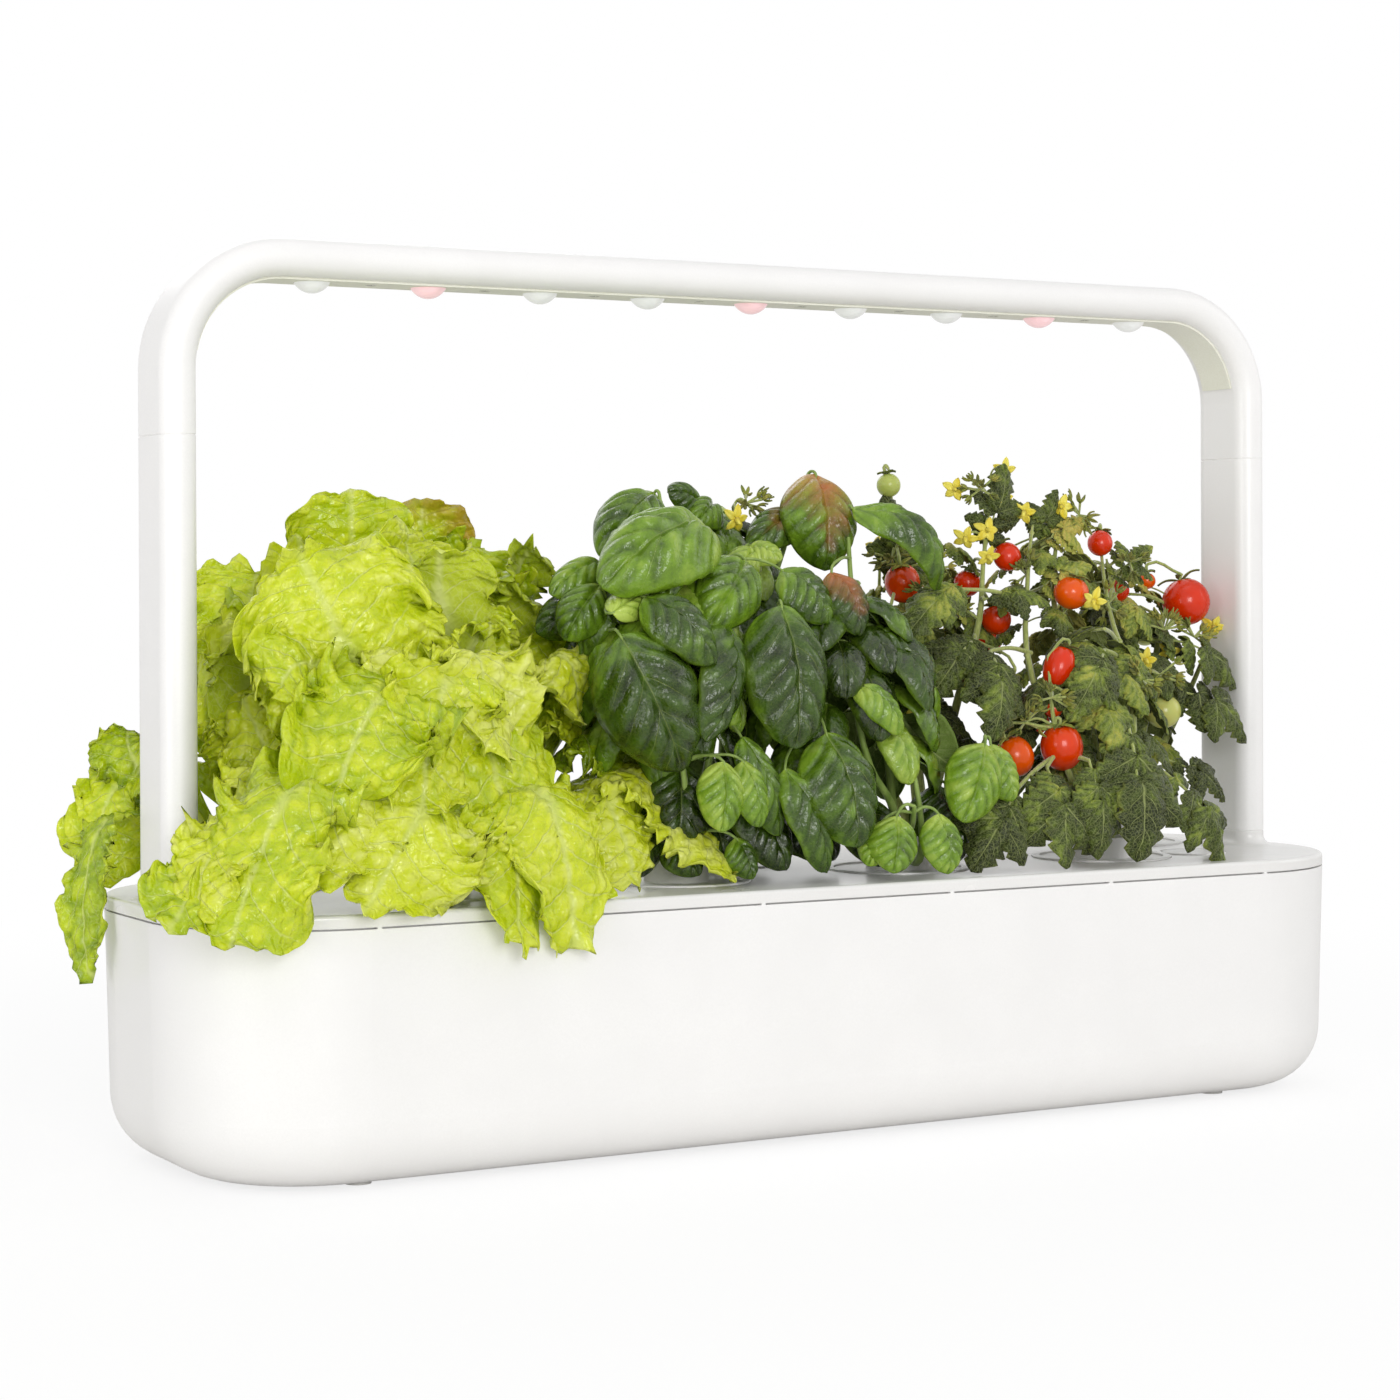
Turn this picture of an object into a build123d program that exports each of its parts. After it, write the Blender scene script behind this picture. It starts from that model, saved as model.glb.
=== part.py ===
from build123d import *

import os
from math import cos, radians, sin

os.makedirs("parts", exist_ok=True)

# A countertop hydroponic garden: a water tub, a lift-off lid with nine growing pods, and a lamp hoop
# that stands on two push-in extension tubes. Millimetres, +Z up, +X along the tub's length.
# The origin is the tub's plan centre on the plane that its feet stand on.

# ---- driving dimensions -------------------------------------------------------------------------

# water tub
base_length = 615.0
base_width = 187.0
base_corner_radius = 71.0
base_draft = 1.5  # degrees, narrower towards the table
base_bottom_fillet = 29.5
base_wall = 2.6
base_floor = 3.0
rim_z = 110.6
foot_standoff = 1.5  # the tub's underside above the table

# feet
foot_radius = 5.75
foot_end_inset = 79.5  # from the tub's end to a foot's centre
foot_side_inset = 35.9  # from the tub's side to a foot's centre
foot_recess = 1.2
foot_clearance = 0.1

# seam between tub and lid, with small spacer nubs on the rim
seam_gap = 0.8
nub_width = 2.0
nub_places = (50.0, 140.0, 233.0)

# lid
lid_edge = 5.6
lid_deck_thickness = 2.8
lid_round = 1.8
lip_depth = 8.0
lip_wall = 2.0
lip_clearance = 0.6

# lamp arms: a stadium section, thin along X and long along Y
arm_inset = 17.5  # from the tub's end to the arm's middle
arm_thickness = 16.4
arm_width = 40.0
arm_wall = 1.8
stub_height = 7.2
stub_flare = 5.0
extension_length = 191.5
spigot_length = 25.0
spigot_wall = 1.5
spigot_clearance = 0.15
spigot_root = 6.0
seam_chamfer = 0.4

# lamp hoop
hoop_height = 85.8  # from the extension tubes' top to the crossbar's top
hoop_outer_radius = 57.0
cover_width = 22.0
cover_thickness = 2.8
cover_proud = 1.0
cover_end_angle = 10.5  # degrees up each bend from its foot, where the cover panel ends
cover_clearance = 0.2

# sockets in the lid for the extension tubes
socket_box_x = 20.0
socket_box_y = 44.0
socket_box_corner = 3.0
socket_floor = 1.6
socket_float = 0.7  # between the spigot's end and the socket's floor

# lamp electronics
lens_pitch = 55.8
lens_count = 9
lens_radius = 8.0
lens_drop = 4.7
lens_flange_overhang = 1.6
lens_flange = 1.2
lens_clearance = 0.15
lens_cavity_radius = 4.0
lens_cavity_depth = 1.6
led_size = 3.5
led_height = 0.9
board_length = 476.0
board_width = 24.0
board_thickness = 1.6
heat_sink_width = 28.0
heat_sink_thickness = 3.0
timer_length = 38.0
timer_width = 20.0
timer_x = 111.6
timer_thickness = 1.2
chip_height = 1.6
screw_head_radius = 2.4
screw_head_height = 1.2
screw_radius = 1.1
screw_clearance = 0.3
screw_bite = 4.0
screw_slot_angle = 40.0
boss_radius = 3.0
ribbon_width = 6.0
ribbon_thickness = 1.2
ribbon_start_x = 222.0
connector_height = 8.0

# growing pods: nine wells in two staggered rows
pod_count = 9
pod_pitch = 60.0
pod_row = 33.0
flange_overhang = 2.6  # the cup's flange past its body
flange_thickness = 1.6
flange_recess = 0.8
flange_clearance = 0.4
cup_top_radius = 31.4
cup_bottom_radius = 24.0
cup_depth = 58.0
cup_wall = 1.4
cup_clearance = 0.5
flange_round = 0.6
well_wall = 1.8
well_skirt = 10.0
ledge_width = 3.0
ledge_height = 2.0
ledge_depth = 2.2
cap_thickness = 1.4
cap_clearance = 0.3
collar_radius = 15.0
collar_wall = 1.8
collar_height = 10.0
plug_gap = 0.2
wick_width = 12.0
wick_thickness = 2.0
wick_end_z = 14.0
wick_clearance = 0.3
drain_width = 5.0
drain_height = 14.0
drain_count = 6
drain_start_angle = 30.0  # keeps the windows off the wick's ends

# water level float
float_gap = 1.0  # between the float well's ring and the last front pod's flange
float_bearing = -5.5  # degrees from +X, seen from that pod
float_hole_radius = 15.2
float_guide_wall = 1.6
float_guide_depth = 75.0  # below the lid's top
float_ledge_width = 4.2
float_ring_width = 2.0
float_ring_height = 0.5
float_clearance = 0.8
float_disc_thickness = 1.8
float_stem_radius = 2.5
float_foam_clearance = 1.6
float_foam_height = 14.0
float_foam_depth = 31.0  # from the lid's top to the foam's underside
float_window_width = 6.0
float_window_sill = 8.0
float_window_height = 50.0

# power inlet at the back, hung under the lid, in a notch of the tub's rim
inlet_x = 215.0
inlet_width = 11.0
inlet_height = 11.0
inlet_depth = 17.0
inlet_setback = 0.5
inlet_clearance = 0.5
inlet_mouth_radius = 4.8
inlet_mouth_depth = 5.0
inlet_bore_radius = 3.0
inlet_bore_depth = 9.0
inlet_pin_radius = 1.0
inlet_pin_fit = 0.02
inlet_pin_setback = 1.0
inlet_tail = 6.0
lead_radius = 1.3
lead_setback = 4.5  # from the inlet's back to the lead's centre line
lead_bend = 8.0
lead_corner = 28.0
channel_inner = 4.8
channel_wall = 1.2
channel_gap = 0.1
contact_block = 10.0
contact_depth = 5.0
contact_pin_radius = 0.9
contact_pin_y = (-4.0, 6.0)
contact_pin_gap = 0.1

# foliage, as plain solids of the plants' size
stem_radius = 5.0
leaf_gap = 0.3  # between one plant's space and the next
canopy_lift = 12.0  # from the lid's top to a canopy's underside
canopy_corner = 34.0
canopy_top_round = 30.0
canopy_bottom_round = 10.0
arm_leaf_gap = 2.5
canopy_height = {"lettuce": 159.0, "basil": 171.0, "tomato": 181.0}
canopy_reach = {"lettuce": 92.0, "basil": 82.0, "tomato": 86.0}
left_leaf_reach = 17.5  # past the tub's left end
left_leaf_drop = 35.0  # below the lid's top
left_leaf_rise = 71.0  # above the lid's top
left_leaf_y = (2.0, 48.0)
front_leaf_reach = 10.5  # past the tub's front
front_leaf_drop = 18.0
front_leaf_rise = 33.0
front_leaf_x = (-305.0, -139.0)
outside_gap = 0.8  # between a hanging leaf and the tub

# ---- places worked out from the dimensions -------------------------------------------------------

foot_x = base_length / 2 - foot_end_inset
foot_y = base_width / 2 - foot_side_inset
arm_x = base_length / 2 - arm_inset
lid_edge_z = rim_z + seam_gap
lid_top = lid_edge_z + lid_edge
deck_under = lid_top - lid_deck_thickness
lip_outer = base_wall + lip_clearance
lip_inner = lip_outer + lip_wall
stub_top = lid_top + stub_height
extension_top = stub_top + extension_length
spigot_width = arm_width - 2 * arm_wall - 2 * spigot_clearance
spigot_thickness = arm_thickness - 2 * arm_wall - 2 * spigot_clearance
socket_floor_top = stub_top - spigot_length - socket_float
socket_bottom = socket_floor_top - socket_floor
lamp_top_z = extension_top + hoop_height
hoop_mid_z = lamp_top_z - arm_thickness / 2
hoop_mid_radius = hoop_outer_radius - arm_thickness / 2
hoop_roof = lamp_top_z - arm_wall
bend_x = arm_x - hoop_mid_radius
bend_z = hoop_mid_z - hoop_mid_radius
crossbar_under = lamp_top_z - arm_thickness
lens_flange_radius = lens_radius + lens_flange_overhang
cover_low = crossbar_under - cover_proud
cover_top = cover_low + cover_thickness
board_low = cover_top + lens_flange
heat_sink_low = board_low + board_thickness
heat_sink_top = heat_sink_low + heat_sink_thickness
ribbon_z = heat_sink_top + ribbon_thickness / 2
flange_radius = cup_top_radius + flange_overhang
ledge_inner_radius = cup_top_radius - ledge_width
cup_top = lid_top + flange_thickness - flange_recess
cup_bottom = cup_top - cup_depth
cap_seat = cup_top - ledge_depth
plug_top = cap_seat - ledge_height - plug_gap
lens_places = [(i - (lens_count - 1) / 2) * lens_pitch for i in range(lens_count)]
red_places = lens_places[1::3]
white_places = [x for x in lens_places if x not in red_places]
screw_places = [(x + lens_pitch / 2) for x in lens_places[:-1]]
pods = []
for i in range(pod_count):
    kind = ("lettuce", "basil", "tomato")[i * 3 // pod_count]
    pods.append((i + 1, kind, (i - (pod_count - 1) / 2) * pod_pitch, pod_row * (1 if i % 2 == 0 else -1)))
pod_places = [(x, y) for number, kind, x, y in pods]
float_pod = [(x, y) for x, y in pod_places if y < 0][-1]
float_reach = flange_radius + float_gap + float_ring_width + float_hole_radius
float_x = float_pod[0] + float_reach * cos(radians(float_bearing))
float_y = float_pod[1] + float_reach * sin(radians(float_bearing))
float_guide_bottom = lid_top - float_guide_depth
canopy_bottom = lid_top + canopy_lift
inlet_back = base_width / 2 - inlet_setback
inlet_front = inlet_back - inlet_depth
inlet_z = lid_edge_z - inlet_height / 2
lead_start_x = inlet_x + inlet_pin_radius
lead_start_y = inlet_front - lead_setback
rim_down = Plane(origin=(0, 0, rim_z), x_dir=(1, 0, 0), z_dir=(0, 0, -1))


def rim_outline(inset):
    # the tub's and lid's plan outline, set in from the outside face
    RectangleRounded(base_length - 2 * inset, base_width - 2 * inset, base_corner_radius - inset)


def arm_outline(inset):
    # the arms' stadium section in plan, set in from its outside face
    SlotOverall(arm_width - 2 * inset, arm_thickness - 2 * inset, rotation=90)


def spigot_outline(inset):
    # the push-in spigot's section, set in from its own outside face
    SlotOverall(spigot_width - 2 * inset, spigot_thickness - 2 * inset, rotation=90)


def hoop_path(low_z):
    # the hoop's centre line: up the left leg, across and down the right leg
    FilletPolyline(
        (-arm_x, low_z),
        (-arm_x, hoop_mid_z),
        (arm_x, hoop_mid_z),
        (arm_x, low_z),
        radius=hoop_mid_radius,
    )


def cover_plane(inset):
    # square to the cover's left end, with its X towards the middle of the bend
    inwards = Vector(1, 0, 0).rotate(Axis.Y, cover_end_angle)
    end = Vector(-bend_x, 0, bend_z) - inwards * (hoop_mid_radius - inset)
    return Plane(origin=end, x_dir=inwards, z_dir=inwards.cross(Vector(0, 1, 0)))


def cover_path(inset):
    # from part way up the left bend, along the crossbar and part way down the right bend
    radius = hoop_mid_radius - inset
    CenterArc((-bend_x, bend_z), radius, 180 - cover_end_angle, cover_end_angle - 90)
    Line((-bend_x, bend_z + radius), (bend_x, bend_z + radius))
    CenterArc((bend_x, bend_z), radius, 90, cover_end_angle - 90)


# ---- water tub -----------------------------------------------------------------------------------

with BuildPart() as tank_space:
    with BuildSketch(rim_down):
        rim_outline(base_wall)
    extrude(amount=rim_z - foot_standoff - base_floor, taper=base_draft)
    fillet(tank_space.faces().sort_by(Axis.Z)[0].edges(), base_bottom_fillet - base_wall)

with BuildPart() as reservoir_shell:
    with BuildSketch(rim_down):
        rim_outline(0)
    extrude(amount=rim_z - foot_standoff, taper=base_draft)
    fillet(reservoir_shell.faces().sort_by(Axis.Z)[0].edges(), base_bottom_fillet)
    add(tank_space.part, mode=Mode.SUBTRACT)
    # spacer nubs that keep the seam open
    with BuildSketch(Plane.XY.offset(rim_z)):
        for x in nub_places:
            with GridLocations(2 * x, base_width - base_wall, 2, 2):
                Rectangle(nub_width, base_wall)
    extrude(amount=seam_gap)
    # pockets for the feet
    with BuildSketch(Plane.XY.offset(foot_standoff)):
        with GridLocations(2 * foot_x, 2 * foot_y, 2, 2):
            Circle(foot_radius + foot_clearance)
    extrude(amount=foot_recess, mode=Mode.SUBTRACT)
    # notch for the power inlet, open at the rim
    with BuildSketch(Plane.XY.offset(lid_edge_z - inlet_height - inlet_clearance)):
        with Locations((inlet_x, base_width / 2)):
            Rectangle(inlet_width + 2 * inlet_clearance, 4 * base_wall)
    extrude(amount=inlet_height, mode=Mode.SUBTRACT)
reservoir_shell.part.label = "reservoir_shell"
export_step(reservoir_shell.part, "parts/reservoir_shell.step")

with BuildPart() as foot_pads:
    with BuildSketch(Plane.XY):
        with GridLocations(2 * foot_x, 2 * foot_y, 2, 2):
            Circle(foot_radius)
    extrude(amount=foot_standoff + foot_recess)
foot_pads.part.label = "foot_pads"
export_step(foot_pads.part, "parts/foot_pads.step")

# ---- lid -----------------------------------------------------------------------------------------

with BuildPart() as lid_deck:
    with BuildSketch(Plane.XY.offset(lid_edge_z)):
        rim_outline(0)
    extrude(amount=lid_edge)
    fillet(lid_deck.faces().sort_by(Axis.Z)[-1].edges(), lid_round)
    # arm stubs with a flared foot
    with BuildSketch(Plane.XY.offset(lid_top)):
        with GridLocations(2 * arm_x, 0, 2, 1):
            arm_outline(0)
    extrude(amount=stub_height)
    chamfer(lid_deck.edges().group_by(Axis.Z)[-1], seam_chamfer)
    stub_foot = lid_deck.edges().filter_by(
        lambda edge: abs(edge.center().Z - lid_top) < 0.01
        and abs(abs(edge.center().X) - arm_x) <= arm_thickness / 2 + 0.01
        and abs(edge.center().Y) <= arm_width / 2 + 0.01
    )
    fillet(stub_foot, stub_flare)
    # hollow underside and the lip that drops into the tub
    with BuildSketch(Plane.XY.offset(lid_edge_z)):
        rim_outline(lip_inner)
    extrude(amount=lid_edge - lid_deck_thickness, mode=Mode.SUBTRACT)
    with BuildSketch(Plane.XY.offset(lid_edge_z - lip_depth)):
        rim_outline(lip_outer)
        with BuildSketch(mode=Mode.SUBTRACT):
            rim_outline(lip_inner)
    extrude(amount=lip_depth)
    # skirted wells for the planter cups, each with a seat for the cup's flange
    with BuildSketch(Plane.XY.offset(deck_under - well_skirt)):
        with Locations(*pod_places):
            Circle(cup_top_radius + cup_clearance + well_wall)
    extrude(amount=well_skirt)
    with BuildSketch(Plane.XY.offset(deck_under - well_skirt)):
        with Locations(*pod_places):
            Circle(cup_top_radius + cup_clearance)
    extrude(amount=well_skirt + lid_deck_thickness, mode=Mode.SUBTRACT)
    with BuildSketch(Plane.XY.offset(lid_top - flange_recess)):
        with Locations(*pod_places):
            Circle(flange_radius + flange_clearance)
    extrude(amount=flange_recess, mode=Mode.SUBTRACT)
    # sockets below the stubs
    with BuildSketch(Plane.XY.offset(socket_bottom)):
        with GridLocations(2 * arm_x, 0, 2, 1):
            RectangleRounded(socket_box_x, socket_box_y, socket_box_corner)
    extrude(amount=deck_under - socket_bottom)
    with BuildSketch(Plane.XY.offset(socket_floor_top)):
        with GridLocations(2 * arm_x, 0, 2, 1):
            arm_outline(arm_wall)
    extrude(amount=stub_top - socket_floor_top, mode=Mode.SUBTRACT)
    with BuildSketch(Plane.XY.offset(socket_bottom)):
        with Locations(*[(arm_x, y) for y in contact_pin_y]):
            Circle(contact_pin_radius + spigot_clearance)
    extrude(amount=socket_floor, mode=Mode.SUBTRACT)
    # float guide with a stop ledge, side windows and a raised ring round its mouth
    with BuildSketch(Plane.XY.offset(float_guide_bottom)):
        with Locations((float_x, float_y)):
            Circle(float_hole_radius + float_guide_wall)
    extrude(amount=deck_under - float_guide_bottom)
    with BuildSketch(Plane.XY.offset(lid_top)):
        with Locations((float_x, float_y)):
            Circle(float_hole_radius + float_ring_width)
    extrude(amount=float_ring_height)
    with BuildSketch(Plane.XY.offset(float_guide_bottom)):
        with Locations((float_x, float_y)):
            Circle(float_hole_radius - float_ledge_width)
    extrude(amount=float_guide_wall, mode=Mode.SUBTRACT)
    with BuildSketch(Plane.XY.offset(float_guide_bottom + float_guide_wall)):
        with Locations((float_x, float_y)):
            Circle(float_hole_radius)
    extrude(amount=lid_top + float_ring_height - float_guide_bottom, mode=Mode.SUBTRACT)
    with BuildSketch(Plane.XY.offset(float_guide_bottom + float_window_sill)):
        with Locations((float_x, float_y)):
            Rectangle(2 * (float_hole_radius + 2 * float_guide_wall), float_window_width)
            Rectangle(float_window_width, 2 * (float_hole_radius + 2 * float_guide_wall))
    extrude(amount=float_window_height, mode=Mode.SUBTRACT)
    # gap in the lip for the power inlet
    with BuildSketch(Plane.XY.offset(lid_edge_z - lip_depth)):
        with Locations((inlet_x, base_width / 2 - lip_outer - lip_wall / 2)):
            Rectangle(inlet_width + inlet_clearance, 2 * lip_wall)
    extrude(amount=lip_depth, mode=Mode.SUBTRACT)
lid_deck.part.label = "lid_deck"
export_step(lid_deck.part, "parts/lid_deck.step")

# ---- power inlet and the lid's wiring ------------------------------------------------------------

inlet_face = Plane(origin=(inlet_x, inlet_back, inlet_z), x_dir=(1, 0, 0), z_dir=(0, -1, 0))

with BuildPart() as power_inlet:
    with BuildSketch(inlet_face):
        Rectangle(inlet_width, inlet_height)
    extrude(amount=inlet_depth)
    with BuildSketch(inlet_face):
        Circle(inlet_mouth_radius)
    extrude(amount=inlet_mouth_depth, mode=Mode.SUBTRACT)
    with BuildSketch(inlet_face):
        Circle(inlet_bore_radius)
    extrude(amount=inlet_mouth_depth + inlet_bore_depth, mode=Mode.SUBTRACT)
    with BuildSketch(inlet_face):
        Circle(inlet_pin_radius + inlet_pin_fit)
    extrude(amount=inlet_depth, mode=Mode.SUBTRACT)
power_inlet.part.label = "power_inlet"
export_step(power_inlet.part, "parts/power_inlet.step")

with BuildPart() as inlet_pin:
    with BuildSketch(inlet_face.offset(inlet_mouth_depth + inlet_pin_setback)):
        Circle(inlet_pin_radius)
    extrude(amount=inlet_depth + inlet_tail - inlet_mouth_depth - inlet_pin_setback)
inlet_pin.part.label = "inlet_pin"
export_step(inlet_pin.part, "parts/inlet_pin.step")


def lead_route():
    # from the inlet's tail past the corner pod to the right arm's socket
    FilletPolyline(
        (lead_start_x, lead_start_y),
        (arm_x - lead_corner, lead_start_y),
        (arm_x, lead_start_y - lead_corner),
        (arm_x, socket_box_y / 2 + contact_depth),
        radius=lead_bend,
    )


lead_start = Plane(origin=(lead_start_x, lead_start_y, inlet_z), x_dir=(0, 1, 0), z_dir=(1, 0, 0))
channel_under = inlet_z - lead_radius - channel_gap - channel_wall

with BuildPart() as lid_lead:
    with BuildLine(Plane.XY.offset(inlet_z)):
        lead_route()
    with BuildSketch(lead_start):
        Circle(lead_radius)
    sweep()
lid_lead.part.label = "lid_lead"
export_step(lid_lead.part, "parts/lid_lead.step")

with BuildPart() as lead_channel_cover:
    with BuildLine(Plane.XY.offset(inlet_z)):
        lead_route()
    with BuildSketch(lead_start):
        with Locations((0, (channel_under + deck_under) / 2 - inlet_z)):
            Rectangle(channel_inner + 2 * channel_wall, deck_under - channel_under)
        with Locations((0, (channel_under + channel_wall + deck_under) / 2 - inlet_z)):
            Rectangle(channel_inner, deck_under - channel_under - channel_wall, mode=Mode.SUBTRACT)
    sweep()
lead_channel_cover.part.label = "lead_channel_cover"
export_step(lead_channel_cover.part, "parts/lead_channel_cover.step")

contact_low = socket_bottom - contact_depth
contact_front = contact_pin_y[0] - contact_depth

with BuildPart() as lid_contacts:
    # an L-shaped block under and behind the right socket
    with BuildSketch(Plane.XY.offset(contact_low)):
        with Locations((arm_x, (contact_front + socket_box_y / 2 + contact_depth) / 2)):
            Rectangle(contact_block, socket_box_y / 2 + contact_depth - contact_front)
    extrude(amount=contact_depth)
    with BuildSketch(Plane.XY.offset(contact_low)):
        with Locations((arm_x, (socket_box_y + contact_depth) / 2)):
            Rectangle(contact_block, contact_depth)
    extrude(amount=inlet_z + 2 * lead_radius - contact_low)
    with BuildSketch(Plane.XY.offset(socket_bottom)):
        with Locations(*[(arm_x, y) for y in contact_pin_y]):
            Circle(contact_pin_radius)
    extrude(amount=socket_floor + socket_float)
lid_contacts.part.label = "lid_contacts"
export_step(lid_contacts.part, "parts/lid_contacts.step")

# ---- water level float ---------------------------------------------------------------------------

float_disc_top = lid_top + float_ring_height
float_foam_bottom = lid_top - float_foam_depth

with BuildPart() as float_indicator:
    with BuildSketch(Plane.XY.offset(float_disc_top - float_disc_thickness)):
        with Locations((float_x, float_y)):
            Circle(float_hole_radius - float_clearance)
    extrude(amount=float_disc_thickness)
    fillet(float_indicator.edges().sort_by(Axis.Z)[-1], float_disc_thickness / 3)
    with BuildSketch(Plane.XY.offset(float_foam_bottom)):
        with Locations((float_x, float_y)):
            Circle(float_stem_radius)
    extrude(amount=float_disc_top - float_disc_thickness - float_foam_bottom)
float_indicator.part.label = "float_indicator"
export_step(float_indicator.part, "parts/float_indicator.step")

with BuildPart() as float_body:
    with BuildSketch(Plane.XY.offset(float_foam_bottom)):
        with Locations((float_x, float_y)):
            Circle(float_hole_radius - float_foam_clearance)
            Circle(float_stem_radius + inlet_pin_fit, mode=Mode.SUBTRACT)
    extrude(amount=float_foam_height)
float_body.part.label = "float_body"
export_step(float_body.part, "parts/float_body.step")

# ---- extension tubes -----------------------------------------------------------------------------


def extension_tube(x, name):
    # a stadium tube, open at the top, with a spigot that drops into the lid's socket
    with BuildPart() as tube:
        with BuildSketch(Plane.XY.offset(stub_top)):
            with Locations((x, 0)):
                arm_outline(0)
        extrude(amount=extension_length)
        chamfer(tube.edges().group_by(Axis.Z)[0] + tube.edges().group_by(Axis.Z)[-1], seam_chamfer)
        with BuildSketch(Plane.XY.offset(stub_top + spigot_root)):
            with Locations((x, 0)):
                arm_outline(arm_wall)
        extrude(amount=extension_length - spigot_root, mode=Mode.SUBTRACT)
        with BuildSketch(Plane.XY.offset(stub_top - spigot_length)):
            with Locations((x, 0)):
                spigot_outline(0)
        extrude(amount=spigot_length)
        with BuildSketch(Plane.XY.offset(stub_top - spigot_length)):
            with Locations((x, 0)):
                spigot_outline(spigot_wall)
        extrude(amount=spigot_length + spigot_root, mode=Mode.SUBTRACT)
    tube.part.label = name
    export_step(tube.part, f"parts/{name}.step")


extension_tube(-arm_x, "left_extension_tube")
extension_tube(arm_x, "right_extension_tube")

extension_block_low = stub_top - spigot_length + contact_pin_gap
extension_block_high = extension_top - spigot_length - socket_float

with BuildPart() as extension_lead:
    # a connector in the spigot, a ribbon up the tube and a connector below the hoop's spigot
    with BuildSketch(Plane.XY.offset(extension_block_low)):
        with Locations((arm_x, 0)):
            spigot_outline(spigot_wall + spigot_clearance)
    extrude(amount=connector_height)
    with BuildSketch(Plane.XY.offset(extension_block_low + connector_height)):
        with Locations((arm_x, 0)):
            Rectangle(ribbon_thickness, ribbon_width)
    extrude(amount=extension_block_high - extension_block_low - 2 * connector_height)
    with BuildSketch(Plane.XY.offset(extension_block_high - connector_height)):
        with Locations((arm_x, 0)):
            arm_outline(arm_wall + spigot_clearance)
    extrude(amount=connector_height)
extension_lead.part.label = "extension_lead"
export_step(extension_lead.part, "parts/extension_lead.step")

# ---- lamp hoop -----------------------------------------------------------------------------------

with BuildPart() as hoop_space:
    # the hollow inside the hoop
    with BuildLine(Plane.XZ):
        hoop_path(extension_top + spigot_root)
    with BuildSketch(Plane.XY.offset(extension_top + spigot_root)):
        with Locations((-arm_x, 0)):
            arm_outline(arm_wall)
    sweep()

with BuildPart() as cover_space:
    # the slot that the cover panel closes
    with BuildLine(Plane.XZ):
        cover_path(arm_thickness / 2)
    with BuildSketch(cover_plane(arm_thickness / 2)):
        Rectangle(2 * cover_thickness, cover_width + 2 * cover_clearance)
    sweep()

with BuildPart() as lamp_hoop:
    with BuildLine(Plane.XZ):
        hoop_path(extension_top)
    with BuildSketch(Plane.XY.offset(extension_top)):
        with Locations((-arm_x, 0)):
            arm_outline(0)
    sweep()
    chamfer(lamp_hoop.edges().group_by(Axis.Z)[0], seam_chamfer)
    add(hoop_space.part, mode=Mode.SUBTRACT)
    add(cover_space.part, mode=Mode.SUBTRACT)
    # spigots that drop into the extension tubes
    with BuildSketch(Plane.XY.offset(extension_top - spigot_length)):
        with GridLocations(2 * arm_x, 0, 2, 1):
            spigot_outline(0)
    extrude(amount=spigot_length)
    with BuildSketch(Plane.XY.offset(extension_top - spigot_length)):
        with GridLocations(2 * arm_x, 0, 2, 1):
            spigot_outline(spigot_wall)
    extrude(amount=spigot_length + spigot_root, mode=Mode.SUBTRACT)
    # screw bosses from the roof to the heat sink
    with BuildSketch(Plane.XY.offset(heat_sink_top)):
        with Locations(*[(x, 0) for x in screw_places]):
            Circle(boss_radius)
            Circle(screw_radius + inlet_pin_fit, mode=Mode.SUBTRACT)
    extrude(amount=hoop_roof - heat_sink_top)
lamp_hoop.part.label = "lamp_hoop"
export_step(lamp_hoop.part, "parts/lamp_hoop.step")

with BuildPart() as lamp_cover:
    with BuildLine(Plane.XZ):
        cover_path(arm_thickness / 2 + cover_proud - cover_thickness / 2)
    with BuildSketch(cover_plane(arm_thickness / 2 + cover_proud - cover_thickness / 2)):
        Rectangle(cover_thickness, cover_width)
    sweep()
    with BuildSketch(Plane.XY.offset(cover_low)):
        with Locations(*[(x, 0) for x in lens_places]):
            Circle(lens_radius + lens_clearance)
        with Locations(*[(x, 0) for x in screw_places]):
            Circle(screw_radius + screw_clearance)
    extrude(amount=cover_thickness, mode=Mode.SUBTRACT)
    with BuildSketch(Plane.XY.offset(cover_low)):
        with Locations(*[(x, 0) for x in screw_places]):
            Circle(screw_head_radius + screw_clearance)
    extrude(amount=screw_head_height + screw_clearance, mode=Mode.SUBTRACT)
lamp_cover.part.label = "lamp_cover"
export_step(lamp_cover.part, "parts/lamp_cover.step")

with BuildPart() as led_board:
    with BuildSketch(Plane.XY.offset(board_low)):
        Rectangle(board_length, board_width)
        with Locations(*[(x, 0) for x in screw_places]):
            Circle(screw_radius + screw_clearance, mode=Mode.SUBTRACT)
    extrude(amount=board_thickness)
led_board.part.label = "led_board"
export_step(led_board.part, "parts/led_board.step")

with BuildPart() as heat_sink:
    with BuildSketch(Plane.XY.offset(heat_sink_low)):
        Rectangle(board_length, heat_sink_width)
        with Locations(*[(x, 0) for x in screw_places]):
            Circle(screw_radius + screw_clearance, mode=Mode.SUBTRACT)
    extrude(amount=heat_sink_thickness)
heat_sink.part.label = "heat_sink"
export_step(heat_sink.part, "parts/heat_sink.step")


def led_row(places, name):
    # square emitters on the board's underside
    with BuildPart() as leds:
        with BuildSketch(Plane.XY.offset(board_low - led_height)):
            with Locations(*[(x, 0) for x in places]):
                Rectangle(led_size, led_size)
        extrude(amount=led_height)
    leds.part.label = name
    export_step(leds.part, f"parts/{name}.step")


led_row(white_places, "white_leds")
led_row(red_places, "red_leds")

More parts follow.
